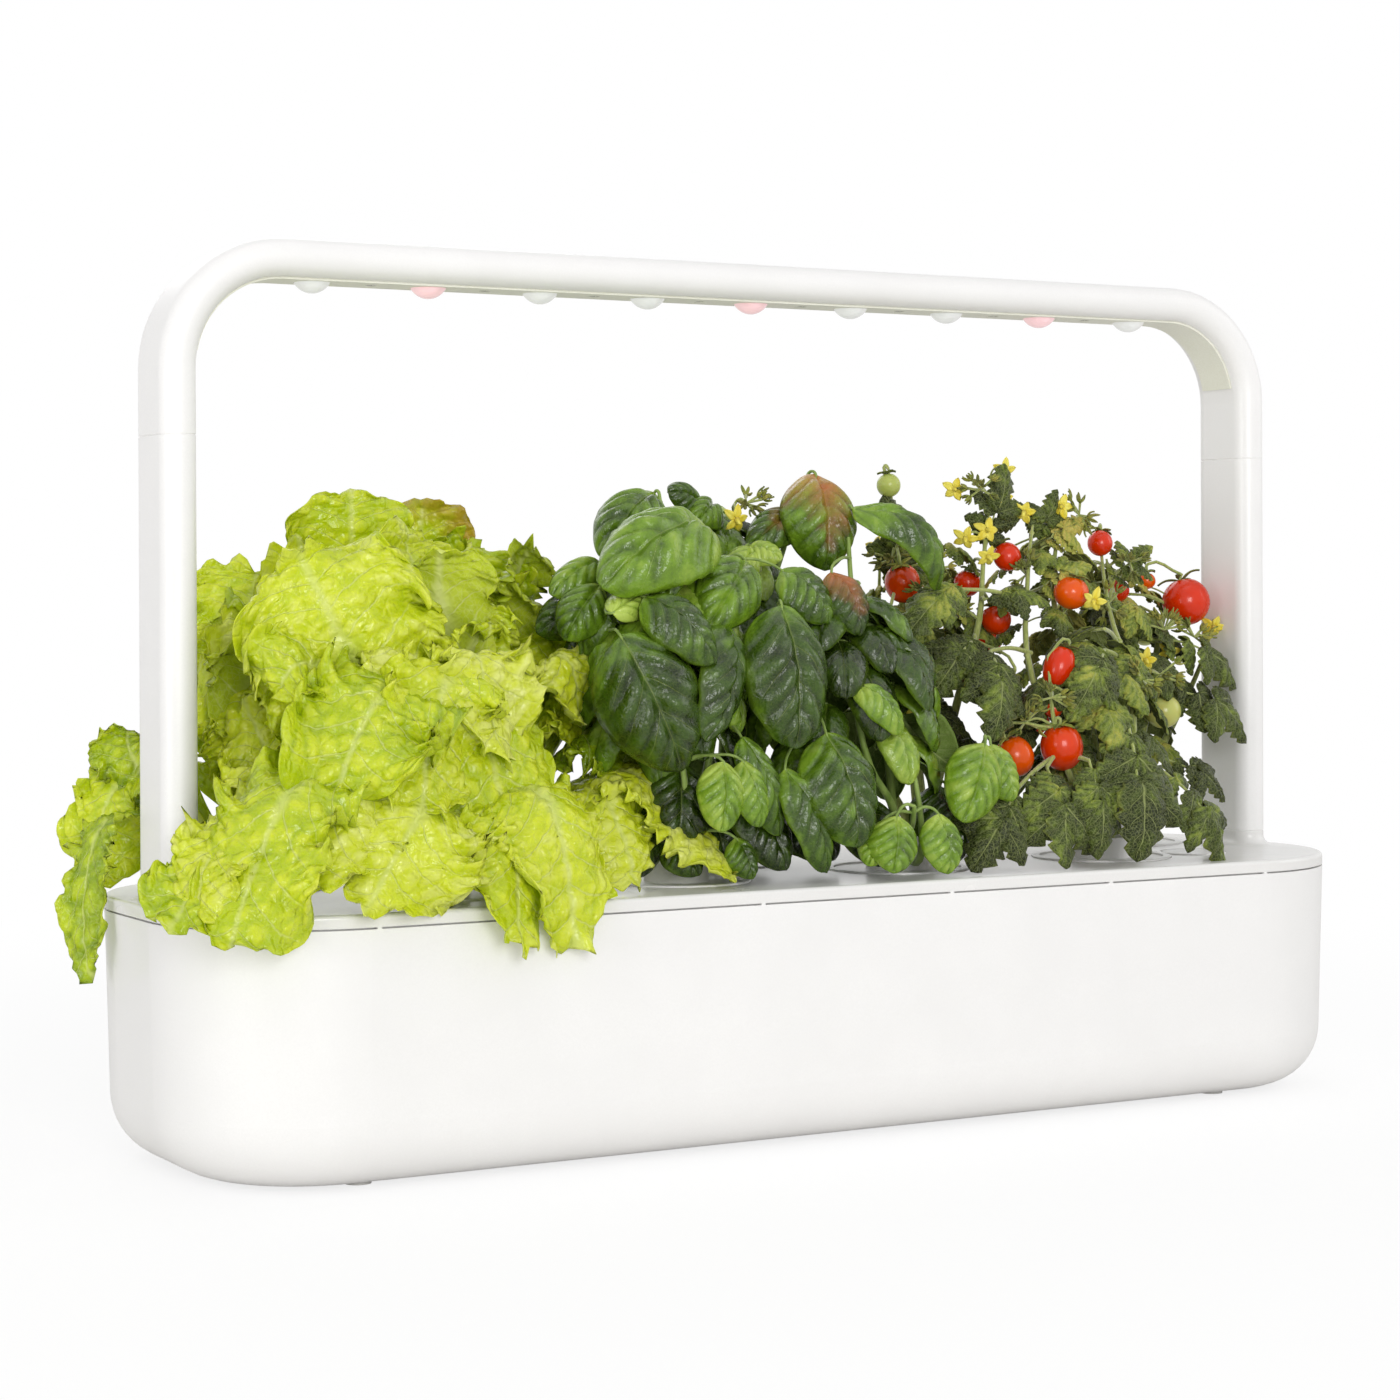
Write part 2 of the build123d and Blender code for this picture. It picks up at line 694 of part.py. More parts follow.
with BuildPart() as one_lens:
    # a domed lens with a flange above the cover and a pocket over its emitter
    with BuildSketch(Plane.XZ):
        with BuildLine():
            Polyline(
                (0, crossbar_under - cover_proud - lens_drop),
                (0, board_low - lens_cavity_depth),
                (lens_cavity_radius, board_low - lens_cavity_depth),
                (lens_cavity_radius, board_low),
                (lens_flange_radius, board_low),
                (lens_flange_radius, cover_top),
                (lens_radius, cover_top),
                (lens_radius, cover_low),
            )
            dome_reach = (lens_radius**2 + lens_drop**2) / (2 * lens_drop)
            RadiusArc((lens_radius, cover_low), (0, cover_low - lens_drop), dome_reach)
        make_face()
    revolve(axis=Axis.Z)


def lens_row(places, name):
    with BuildPart() as lenses:
        with Locations(*[(x, 0) for x in places]):
            add(one_lens.part)
    lenses.part.label = name
    export_step(lenses.part, f"parts/{name}.step")


lens_row(white_places, "clear_lenses")
lens_row(red_places, "red_lenses")

with BuildPart() as timer_board:
    # the day timer's board with its two chips, on top of the heat sink
    with BuildSketch(Plane.XY.offset(heat_sink_top)):
        with Locations((timer_x, 0)):
            Rectangle(timer_length, timer_width)
    extrude(amount=timer_thickness)
    with BuildSketch(Plane.XY.offset(heat_sink_top + timer_thickness)):
        with Locations((timer_x - timer_length / 5, 0)):
            Rectangle(timer_width / 2, timer_width / 2)
        with Locations((timer_x + timer_length / 4, 0)):
            Rectangle(timer_width / 4, timer_width / 2)
    extrude(amount=chip_height)
timer_board.part.label = "timer_board"
export_step(timer_board.part, "parts/timer_board.step")

lamp_block_low = extension_top - spigot_length + spigot_clearance

with BuildPart() as lamp_lead:
    # a ribbon from the heat sink round the right bend to the connector in the right spigot
    with BuildLine(Plane.XZ):
        FilletPolyline(
            (ribbon_start_x, ribbon_z),
            (arm_x, ribbon_z),
            (arm_x, lamp_block_low + connector_height),
            radius=hoop_mid_radius,
        )
    with BuildSketch(Plane(origin=(ribbon_start_x, 0, ribbon_z), x_dir=(0, 1, 0), z_dir=(1, 0, 0))):
        Rectangle(ribbon_width, ribbon_thickness)
    sweep()
    with BuildSketch(Plane.XY.offset(lamp_block_low)):
        with Locations((arm_x, 0)):
            spigot_outline(spigot_wall + spigot_clearance)
    extrude(amount=connector_height)
lamp_lead.part.label = "lamp_lead"
export_step(lamp_lead.part, "parts/lamp_lead.step")

with BuildPart() as cover_screws:
    with BuildSketch(Plane.XY.offset(cover_low + screw_clearance)):
        with Locations(*[(x, 0) for x in screw_places]):
            Circle(screw_head_radius)
    extrude(amount=screw_head_height)
    with BuildSketch(Plane.XY.offset(cover_low + screw_clearance)):
        with Locations(*[(x, 0) for x in screw_places]):
            Circle(screw_radius)
    extrude(amount=heat_sink_top + screw_bite - cover_low - screw_clearance)
    # straight driver slots
    with BuildSketch(Plane.XY.offset(cover_low + screw_clearance)):
        with Locations(*[(x, 0) for x in screw_places]):
            Rectangle(2 * screw_head_radius, screw_head_radius / 3, rotation=screw_slot_angle)
    extrude(amount=screw_head_height / 2, mode=Mode.SUBTRACT)
cover_screws.part.label = "cover_screws"
export_step(cover_screws.part, "parts/cover_screws.step")

# ---- growing pods --------------------------------------------------------------------------------

cup_floor_top = cup_bottom + cup_wall
plug_top_radius = ledge_inner_radius - cap_clearance
plug_bottom_radius = cup_bottom_radius - cup_wall - cap_clearance

with BuildPart() as one_cup:
    with BuildSketch(Plane.XZ):
        with BuildLine():
            Polyline(
                (0, cup_bottom),
                (cup_bottom_radius, cup_bottom),
                (cup_top_radius, cup_top - flange_thickness),
                (flange_radius, cup_top - flange_thickness),
                (flange_radius, cup_top),
                (cup_top_radius - cup_wall + cap_clearance, cup_top),
                (cup_top_radius - cup_wall + cap_clearance, cap_seat),
                (ledge_inner_radius, cap_seat),
                (ledge_inner_radius, cap_seat - ledge_height),
                (cup_top_radius - 2 * cup_wall, cap_seat - 2 * ledge_height),
                (cup_bottom_radius - cup_wall, cup_floor_top),
                (0, cup_floor_top),
                close=True,
            )
        make_face()
    revolve(axis=Axis.Z)
    rim_edges = one_cup.edges().filter_by(GeomType.CIRCLE).group_by(Axis.Z)[-1]
    fillet(rim_edges.sort_by(SortBy.RADIUS)[-1], flange_round)
    # slot for the wick and drain windows round the foot
    with BuildSketch(Plane.XY.offset(cup_bottom)):
        Rectangle(wick_width + 2 * wick_clearance, wick_thickness + 2 * wick_clearance)
    extrude(amount=cup_wall, mode=Mode.SUBTRACT)
    with BuildSketch(Plane.XY.offset(cup_bottom + 3 * cup_wall)):
        with PolarLocations(cup_bottom_radius, drain_count, start_angle=drain_start_angle):
            Rectangle(4 * cup_wall + drain_width, drain_width)
    extrude(amount=drain_height, mode=Mode.SUBTRACT)

with BuildPart() as one_plug:
    # a tapered soil plug that stands on the cup's floor
    with BuildSketch(Plane.XZ):
        with BuildLine():
            Polyline(
                (0, cup_floor_top),
                (plug_bottom_radius, cup_floor_top),
                (plug_top_radius, plug_top),
                (0, plug_top),
                close=True,
            )
        make_face()
    revolve(axis=Axis.Z)

with BuildPart() as one_wick:
    # a flat felt strip from the plug through the cup's slot down into the water
    with BuildSketch(Plane.XY.offset(wick_end_z)):
        Rectangle(wick_width, wick_thickness)
    extrude(amount=cup_floor_top - wick_end_z)

with BuildPart() as one_cap:
    # a flat disc with a short collar round the stem
    with BuildSketch(Plane.XY.offset(cap_seat)):
        Circle(cup_top_radius - cup_wall)
    extrude(amount=cap_thickness)
    with BuildSketch(Plane.XY.offset(cap_seat)):
        Circle(collar_radius)
    extrude(amount=cap_thickness + collar_height)
    with BuildSketch(Plane.XY.offset(cap_seat)):
        Circle(collar_radius - collar_wall)
    extrude(amount=cap_thickness + collar_height, mode=Mode.SUBTRACT)
    fillet(one_cap.edges().group_by(Axis.Z)[-1], collar_wall / 3)


def box_between(low, high):
    # a plain block from its lowest to its highest corner
    with Locations(tuple((a + b) / 2 for a, b in zip(low, high))):
        Box(*[b - a for a, b in zip(low, high)])


def plant(number, kind, x, y):
    # one stem and one rounded canopy that fills the plant's own share of the space over the lid
    inner_y = leaf_gap
    outer_y = canopy_reach[kind]
    arm_side = arm_x - arm_thickness / 2 - arm_leaf_gap
    low_x = max(x - pod_pitch + leaf_gap, -arm_side)
    high_x = min(x + pod_pitch - leaf_gap, arm_side)
    side = 1 if y > 0 else -1
    with BuildPart() as foliage:
        with BuildSketch(Plane.XY.offset(canopy_bottom)):
            with Locations(((low_x + high_x) / 2, side * (inner_y + outer_y) / 2)):
                RectangleRounded(high_x - low_x, outer_y - inner_y, canopy_corner)
        extrude(amount=canopy_height[kind])
        fillet(foliage.edges().group_by(Axis.Z)[-1], canopy_top_round)
        fillet(foliage.edges().group_by(Axis.Z)[0], canopy_bottom_round)
        with BuildSketch(Plane.XY.offset(plug_top)):
            with Locations((x, y)):
                Circle(stem_radius)
        extrude(amount=canopy_bottom + canopy_bottom_round - plug_top)
        if number == 1:
            # the outer leaf that passes behind the left arm and hangs over the tub's end
            box_between(
                (-base_length / 2 - left_leaf_reach, arm_width / 2 + arm_leaf_gap, canopy_bottom),
                (low_x + canopy_corner, left_leaf_y[1], lid_top + left_leaf_rise),
            )
            box_between(
                (-base_length / 2 - left_leaf_reach, left_leaf_y[0], lid_top - left_leaf_drop),
                (-base_length / 2 - outside_gap, left_leaf_y[1], lid_top + front_leaf_rise),
            )
        if number == 2:
            # the low leaves that lie in front of the left arm and hang over the tub's front
            box_between(
                (front_leaf_x[0], -base_width / 2 - front_leaf_reach, canopy_bottom),
                (front_leaf_x[1], -arm_width / 2 - arm_leaf_gap, lid_top + front_leaf_rise),
            )
            box_between(
                (front_leaf_x[0], -base_width / 2 - front_leaf_reach, lid_top - front_leaf_drop),
                (front_leaf_x[1], -base_width / 2 - outside_gap, lid_top + front_leaf_rise),
            )
    foliage.part.label = f"{kind}_{number}"
    export_step(foliage.part, f"parts/{kind}_{number}.step")


for number, kind, x, y in pods:
    with BuildPart() as planter_cup:
        with Locations((x, y)):
            add(one_cup.part)
    planter_cup.part.label = f"planter_cup_{number}"
    export_step(planter_cup.part, f"parts/planter_cup_{number}.step")

    soil_plug = Compound([one_plug.part.moved(Location((x, y, 0))), one_wick.part.moved(Location((x, y, 0)))])
    soil_plug.label = f"soil_plug_{number}"
    export_step(soil_plug, f"parts/soil_plug_{number}.step")

    with BuildPart() as pod_cap:
        with Locations((x, y)):
            add(one_cap.part)
    pod_cap.part.label = f"pod_cap_{number}"
    export_step(pod_cap.part, f"parts/pod_cap_{number}.step")

    plant(number, kind, x, y)
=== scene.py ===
import math
import random
from functools import partial

import bmesh
import bpy
from mathutils import Matrix, Vector, noise


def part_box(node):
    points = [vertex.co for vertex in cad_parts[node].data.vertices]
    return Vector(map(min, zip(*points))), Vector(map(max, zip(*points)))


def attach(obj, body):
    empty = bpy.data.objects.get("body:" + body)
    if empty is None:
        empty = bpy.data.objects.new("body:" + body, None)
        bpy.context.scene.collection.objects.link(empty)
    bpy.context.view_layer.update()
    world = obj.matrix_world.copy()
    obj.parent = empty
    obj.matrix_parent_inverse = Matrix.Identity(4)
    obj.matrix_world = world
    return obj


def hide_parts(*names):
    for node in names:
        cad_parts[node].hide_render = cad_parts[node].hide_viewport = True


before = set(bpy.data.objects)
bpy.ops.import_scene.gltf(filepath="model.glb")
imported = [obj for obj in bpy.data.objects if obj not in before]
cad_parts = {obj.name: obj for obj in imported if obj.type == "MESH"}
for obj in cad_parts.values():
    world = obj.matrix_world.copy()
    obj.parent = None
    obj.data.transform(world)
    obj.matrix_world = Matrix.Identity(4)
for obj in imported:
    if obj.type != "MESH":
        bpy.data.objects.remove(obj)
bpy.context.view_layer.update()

mm = 0.001
scene = bpy.context.scene
scene.view_settings.view_transform = "Standard"

view = {
    "place": (-0.7297, -1.2306, 0.2482),
    "yaw": 28.921,
    "pitch": -0.327,
    "roll": -0.23,
    "lens": 77.63,
    "shift": (0.0286, -0.0649),
}


def makeCamera():
    yaw, pitch, roll = (math.radians(view[key]) for key in ("yaw", "pitch", "roll"))
    ahead = Vector((math.sin(yaw) * math.cos(pitch), math.cos(yaw) * math.cos(pitch), math.sin(pitch)))
    level = Vector((math.cos(yaw), -math.sin(yaw), 0))
    right = level * math.cos(roll) + level.cross(ahead) * math.sin(roll)
    above = right.cross(ahead)
    data = bpy.data.cameras.new("camera")
    data.lens, data.sensor_width = view["lens"], 36
    data.shift_x, data.shift_y = view["shift"]
    data.clip_start, data.clip_end = 0.05, 50
    camera = bpy.data.objects.new("camera", data)
    turn = Matrix((right, above, -ahead)).transposed().to_4x4()
    camera.matrix_world = Matrix.Translation(view["place"]) @ turn
    scene.collection.objects.link(camera)
    scene.camera = camera


def toLinear(colour):
    values = [int(colour[i:i + 2], 16) / 255 for i in (1, 3, 5)]
    return tuple(v / 12.92 if v <= 0.04045 else ((v + 0.055) / 1.055) ** 2.4 for v in values) + (1.0,)


# Adds one node. An input takes a number, a hex colour, a socket, or a node, whose first live output it links.
def addNode(tree, kind, inputs=None, ramp=None, **settings):
    node = tree.nodes.new("ShaderNode" + kind)
    for name, value in settings.items():
        setattr(node, name, value)
    for name, value in (inputs or {}).items():
        if isinstance(value, bpy.types.Node):
            value = next(socket for socket in value.outputs if socket.enabled)
        if isinstance(value, bpy.types.NodeSocket):
            tree.links.new(value, node.inputs[name])
        else:
            node.inputs[name].default_value = toLinear(value) if str(value).startswith("#") else value
    if ramp:
        stops = node.color_ramp.elements
        while len(stops) < len(ramp):
            stops.new(1)
        for stop, (place, colour) in zip(stops, ramp):
            stop.position, stop.color = place, toLinear(colour)
    return node


# A new material, its node adder, and the place on the object in metres.
def startMaterial(name):
    material = bpy.data.materials.new(name)
    material.use_nodes = True
    material.node_tree.nodes.clear()
    add = partial(addNode, material.node_tree)
    return material, add, add("TexCoord").outputs["Object"]


studio = {
    "floorSize": 14,
    "floorBounce": "#F3F2F0",
    "floorSeen": "#8C8C8C",   # the camera sees a darker floor
    "floorGlow": 0.77,        # and this makes it white, but for the shadow
    "fadeFrom": 0.4,          # past this distance the sweep fades to plain white, in metres
    "fadeTo": 1.0,
    "worldLight": 0.58,
    # place, target, width, height in metres, then watts
    "softboxes": {
        "key": ((-0.8, -2.8, 0.8), (0, 0, 0.2), 1.0, 1.0, 29),
        "above": ((0.1, -0.2, 2.2), (0, 0, 0.1), 1.4, 1.0, 3),
        "left": ((-2.6, -0.8, 0.3), (0, 0, 0.1), 1.2, 0.8, 14),
        "right": ((2.6, -1.0, 1.2), (0, 0, 0.2), 1.2, 1.6, 8),
        "back": ((0.3, 1.9, 1.4), (0, 0, 0.2), 1.4, 1.0, 6),
    },
}


def makeStudio():
    bm = bmesh.new()
    bmesh.ops.create_grid(bm, x_segments=1, y_segments=1, size=studio["floorSize"] / 2)
    mesh = bpy.data.meshes.new("floor")
    bm.to_mesh(mesh)
    bm.free()
    floor = bpy.data.objects.new("floor", mesh)
    scene.collection.objects.link(floor)
    material, add, place = startMaterial("matt white sweep")
    seen = add("LightPath").outputs["Is Camera Ray"]
    far = add("VectorMath", {0: place}, operation="LENGTH").outputs["Value"]
    fade = add("MapRange", {"Value": far, "From Min": studio["fadeFrom"], "From Max": studio["fadeTo"]},
               interpolation_type="SMOOTHSTEP")
    bounce = add("BsdfDiffuse", {"Color": studio["floorBounce"]})
    grey = add("BsdfDiffuse", {"Color": studio["floorSeen"]})
    glow = add("Emission", {"Strength": studio["floorGlow"]})
    lit = add("AddShader", {0: grey, 1: glow})
    plain = add("Emission", {"Strength": 1.0})
    swept = add("MixShader", {"Fac": fade, 1: lit, 2: plain})
    add("OutputMaterial", {"Surface": add("MixShader", {"Fac": seen, 1: bounce, 2: swept})})
    mesh.materials.append(material)

    world = bpy.data.worlds.new("studio")
    scene.world = world
    world.use_nodes = True
    world.node_tree.nodes.clear()
    add = partial(addNode, world.node_tree)
    path = add("LightPath").outputs
    either = add("Math", {0: path["Is Camera Ray"], 1: path["Is Transmission Ray"]}, operation="MAXIMUM")
    white = add("Math", {0: either, 1: path["Is Glossy Ray"]}, operation="MAXIMUM")
    light = add("Background", {"Color": "#FFFFFF", "Strength": studio["worldLight"]})
    back = add("Background", {"Color": "#FFFFFF", "Strength": 1.0})
    add("OutputWorld", {"Surface": add("MixShader", {"Fac": white, 1: light, 2: back})})

    for name, (place, target, width, height, watts) in studio["softboxes"].items():
        lamp = bpy.data.lights.new(name, "AREA")
        lamp.shape, lamp.size, lamp.size_y, lamp.energy = "RECTANGLE", width, height, watts
        box = bpy.data.objects.new(name, lamp)
        box.location = place
        box.rotation_euler = (Vector(target) - Vector(place)).to_track_quat("-Z", "Y").to_euler()
        scene.collection.objects.link(box)


makeCamera()
makeStudio()
print("camera and studio made")

# Hard parts: a grain sized in millimetres drives the bump, and it and a slow cloud drive colour and gloss.
finishes = {
    # injection-moulded ABS, satin: even off-white, broad soft gloss, fine spark-eroded grain
    "white_abs": dict(colours=("#F2F1F0", "#F6F5F4"), rough=(0.30, 0.38), grain=0.9, bump=0.04, ior=1.54),
    # the same ABS on the lid, from a polished mould: it mirrors the plants at a flat glance; its colours are
    # a shade darker than white_abs, painted shade from the plants over the deck
    "lid_abs": dict(colours=("#EAE9E7", "#EFEEEC"), rough=(0.22, 0.28), grain=0.9, bump=0.02, ior=1.54),
    # silicone rubber: milky and dull, clings to dust
    "clear_rubber": dict(colours=("#D6D5D0", "#E2E1DD"), rough=(0.55, 0.75), grain=1.2, bump=0.1, ior=1.41),
    # moulded nylon: near black, dry sheen
    "black_nylon": dict(colours=("#161617", "#222224"), rough=(0.45, 0.6), grain=0.6, bump=0.15, ior=1.53),
    # plated brass pin: bright, faintly drawn
    "brass": dict(colours=("#C9A45C", "#DDBB75"), rough=(0.18, 0.3), grain=0.5, bump=0.05, metallic=1),
    # extruded PVC lead: black, slightly waxy
    "black_pvc": dict(colours=("#19191A", "#262627"), rough=(0.4, 0.55), grain=0.8, bump=0.1, ior=1.53),
    # moulded ABS channel: plain grey
    "grey_abs": dict(colours=("#B4B4B3", "#C0C0BF"), rough=(0.45, 0.55), grain=0.8, bump=0.08, ior=1.54),
    # closed-cell foam: tiny cells open at its cut face
    "float_foam": dict(colours=("#D9D7D0", "#ECEAE4"), rough=(0.85, 0.95), grain=0.7, bump=0.6, ior=1.45),
    # frosted polycarbonate panel: warm grey-green, barely glossy; its colours are set near white, painted
    # light that brightens the crossbar's shaded underside
    "cover_polycarbonate": dict(colours=("#EAEADA", "#F2F2E6"), rough=(0.42, 0.5), grain=1.0, bump=0.05,
                                ior=1.585),
    # white solder mask on glass-fibre board: glossy over a slight weave
    "solder_mask": dict(colours=("#DEDDD6", "#E6E5DF"), rough=(0.25, 0.35), grain=0.5, bump=0.08, ior=1.5),
    # rolled aluminium strip: fine lengthwise grain
    "aluminium": dict(colours=("#B9BBBD", "#CACCCE"), rough=(0.28, 0.42), grain=0.6, bump=0.1, metallic=1,
                      stretch=(0.03, 1, 1)),
    # phosphor under resin: warm yellow, dull
    "white_emitter": dict(colours=("#EDE2A0", "#F4ECBC"), rough=(0.4, 0.5), grain=0.4, bump=0.05, ior=1.5),
    # red chip under resin
    "red_emitter": dict(colours=("#D33A3E", "#E25055"), rough=(0.4, 0.5), grain=0.4, bump=0.05, ior=1.5),
    # zinc-plated steel screw: grey, fine turning marks
    "screw_steel": dict(colours=("#8F9091", "#A6A7A8"), rough=(0.3, 0.45), grain=0.3, bump=0.1, metallic=1),
    # pressed coir and peat: dark brown fibres and crumbs
    "coir_soil": dict(colours=("#21150E", "#4A3222"), rough=(0.85, 1.0), grain=1.1, bump=1.0, ior=1.45,
                      stretch=(1, 1, 0.35)),
}


def makeFinish(name, colours, rough, grain, bump, ior=None, metallic=0, stretch=(1, 1, 1)):
    material, add, place = startMaterial(name)
    place = add("Mapping", {"Vector": place, "Scale": stretch})
    fine = add("TexNoise", {"Vector": place, "Scale": 1 / (grain * mm), "Detail": 4.0, "Roughness": 0.6})
    cloud = add("TexNoise", {"Vector": place, "Scale": 1 / (45 * mm), "Detail": 3.0})
    mixed = add("Math", {0: fine, 1: cloud}, operation="MULTIPLY")
    spread = add("MapRange", {"Value": mixed, "From Min": 0.15, "From Max": 0.4})
    gloss = {"Value": cloud, "From Min": 0.3, "From Max": 0.7, "To Min": rough[0], "To Max": rough[1]}
    sockets = {
        "Base Color": add("Mix", {0: spread, 6: colours[0], 7: colours[1]}, data_type="RGBA"),
        "Roughness": add("MapRange", gloss),
        "Normal": add("Bump", {"Height": fine, "Strength": bump, "Distance": grain * mm * 0.3}),
        "Metallic": float(metallic),
    }
    if ior:
        sockets["IOR"] = ior
    add("OutputMaterial", {"Surface": add("BsdfPrincipled", sockets)})
    return material


# Polished acrylic domes, clear or red-tinted, darker from the crown to the rim: on the red dome partly its
# tint, thicker at the rim, and partly painted shade; on the clear dome the grey is all painted shade for the
# edge's refraction.
lenses = {
    "clear_lens": ("clear_lenses", ((0.0, "#EAEBEB"), (0.5, "#D6D8D8"), (0.8, "#9A9C98"), (1.0, "#80827C"))),
    "red_lens": ("red_lenses", ((0.0, "#FFDADF"), (0.4, "#FFC4CC"), (0.7, "#FA5A68"), (1.0, "#F04454"))),
}


def makeLens(name, node, ramp):
    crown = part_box(node)[0][2]
    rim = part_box("lamp_cover")[0][2]
    material, add, place = startMaterial(name)
    height = add("SeparateXYZ", {0: place}).outputs[2]
    share = add("MapRange", {"Value": height, "From Min": crown, "From Max": rim + 0.6 * mm})
    swirl = add("TexNoise", {"Vector": place, "Scale": 1 / (3 * mm), "Detail": 2.0})
    colour = add("ValToRGB", {"Fac": share}, ramp=ramp).outputs["Color"]
    sockets = {
        "Base Color": colour,
        "Roughness": add("MapRange", {"Value": swirl, "To Min": 0.06, "To Max": 0.16}),
        "Normal": add("Bump", {"Height": swirl, "Strength": 0.04, "Distance": 0.2 * mm}),
        "IOR": 1.49,
        "Transmission Weight": 0.1,
        "Emission Color": colour,
        "Emission Strength": 0.22,   # painted glow: lifts the lenses under the crossbar, whose emitters give no light
    }
    add("OutputMaterial", {"Surface": add("BsdfPrincipled", sockets)})
    return material


hard = {name: makeFinish(name, **plan) for name, plan in finishes.items()}
hard.update({name: makeLens(name, *plan) for name, plan in lenses.items()})
for name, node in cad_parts.items():
    for slot in node.material_slots:
        base = slot.material.name.split(".")[0]
        if base in hard:
            slot.material = hard["lid_abs" if name == "lid_deck" and base == "white_abs" else base]
print("hard parts finished")

# What both sides of a plant's leaves share: pairs, sweep and wander lay the side veins, the midrib is taper
# times as broad at its base, and cell and blister are the veinlets' and blisters' sizes in mm.
veining = {
    "lettuce": dict(pairs=7.0, sweep=2.6, wander=0.35, taper=8.0, cell=2.4, blister=6.0, through=0.3),
    "basil": dict(pairs=5.5, sweep=1.8, wander=0.12, taper=3.0, cell=1.3, blister=4.0),
    "tomato": dict(pairs=4.5, sweep=1.6, wander=0.3, taper=3.0, cell=1.5, blister=3.2, through=0.12,
                   glow="#84901C"),
}
# Each side's own: ramp runs from dark to pale; thin and rib are the veins' widths; net, veins and rimShow are
# how much lines show, rimShow's pale margin a painted highlight on lettuce and basil; creaseShade is painted
# shade in the creases; patchy and baseShift shift the tone, baseShift at the blade's base, on lettuce painted
# shade at the heart; pucker and swell lift the face; glow tints the light that comes through.
leafPlans = {
    # lettuce, upper side: thin, wet, yellow-green, light comes through; pale ribs, blistered face; painted
    # shade in the creases and towards the base, a painted highlight along the margin
    "lettuceLeaf": dict(
        veining["lettuce"], ramp=((0.0, "#8CAA00"), (0.25, "#C2D804"), (0.6, "#E8F22C"), (1.0, "#F8FC90")),
        vein="#EAF298", rim="#F0F650", glow="#EAF400", thin=0.06, rib=0.06, net=0.12, veins=0.6, creaseShade=0.26,
        rimShow=0.5, patchy=0.65, baseShift=-0.25, pucker=0.45, swell=0.9, bump=0.85, rough=(0.2, 0.34),
        gloss=0.85, blush="#C89A3C", blushRun=(0.75, 1.1)),
    # lettuce, underside: paler, with raised ribs
    "lettuceUnder": dict(
        veining["lettuce"], ramp=((0.0, "#A6BE1C"), (0.5, "#CEDC34"), (1.0, "#E8EE68")),
        vein="#F0F4A8", rim="#D2DA30", glow="#E6F200", thin=0.08, rib=0.1, net=0.25, veins=0.7, creaseShade=0.12,
        rimShow=0.2, patchy=0.4, baseShift=-0.1, pucker=0.5, swell=-0.8, bump=0.6, rough=(0.3, 0.45), gloss=0.3),
    # basil, upper side: thick glossy blade quilted between the side veins, deep green, lighter midrib;
    # painted shade in the creases, a painted highlight along the margin
    "basilLeaf": dict(
        veining["basil"], ramp=((0.0, "#182C00"), (0.3, "#3A5808"), (0.56, "#769C20"), (0.9, "#C0D85C")),
        vein="#A8B65C", rim="#84A42A", glow="#8AA010", thin=0.03, rib=0.022, net=0.1, veins=0.3, creaseShade=0.18,
        rimShow=0.6, patchy=0.9, baseShift=0.35, pucker=0.4, swell=0.4, bump=0.5, rough=(0.2, 0.32), gloss=0.8,
        through=0.12, blush="#CC7440", blushRun=(0.75, 0.2)),
    # basil, underside: greyer and dull
    "basilUnder": dict(
        veining["basil"], ramp=((0.0, "#5A7434"), (0.6, "#788F42"), (1.0, "#9CB060")),
        vein="#B4C080", rim="#6E863C", glow="#86A010", thin=0.05, rib=0.035, net=0.2, veins=0.7, creaseShade=0.0,
        rimShow=0.2, patchy=0.3, baseShift=0.1, pucker=0.5, swell=-0.4, bump=0.4, rough=(0.5, 0.6), gloss=0.2,
        through=0.1),
    # tomato, upper side: dull dark green, wrinkled and downy; older leaves yellow from the edge
    "tomatoLeaf": dict(
        veining["tomato"],
        ramp=((0.0, "#262F0A"), (0.3, "#435119"), (0.5, "#74862E"), (0.72, "#AAB048"), (1.0, "#CDBB5C")),
        vein="#B4BE78", rim="#A0A850", thin=0.04, rib=0.045, net=0.3, veins=0.7, creaseShade=0.25, rimShow=0.6,
        patchy=1.7, baseShift=0.15, pucker=0.8, swell=0.9, bump=0.65, rough=(0.34, 0.5), gloss=0.35, hair=0.06),
    # tomato, underside: grey-green, veins raised
    "tomatoUnder": dict(
        veining["tomato"], ramp=((0.0, "#5E6A38"), (0.6, "#7E8848"), (1.0, "#A8A052")),
        vein="#AAB07C", rim="#808648", thin=0.06, rib=0.06, net=0.25, veins=0.6, creaseShade=0.1, rimShow=0.3,
        patchy=0.4, baseShift=0.1, pucker=0.8, swell=-0.6, bump=0.6, rough=(0.6, 0.75), gloss=0.15, hair=0.12),
}
blushed = 2.0   # a blade's tone has this added when it has coloured


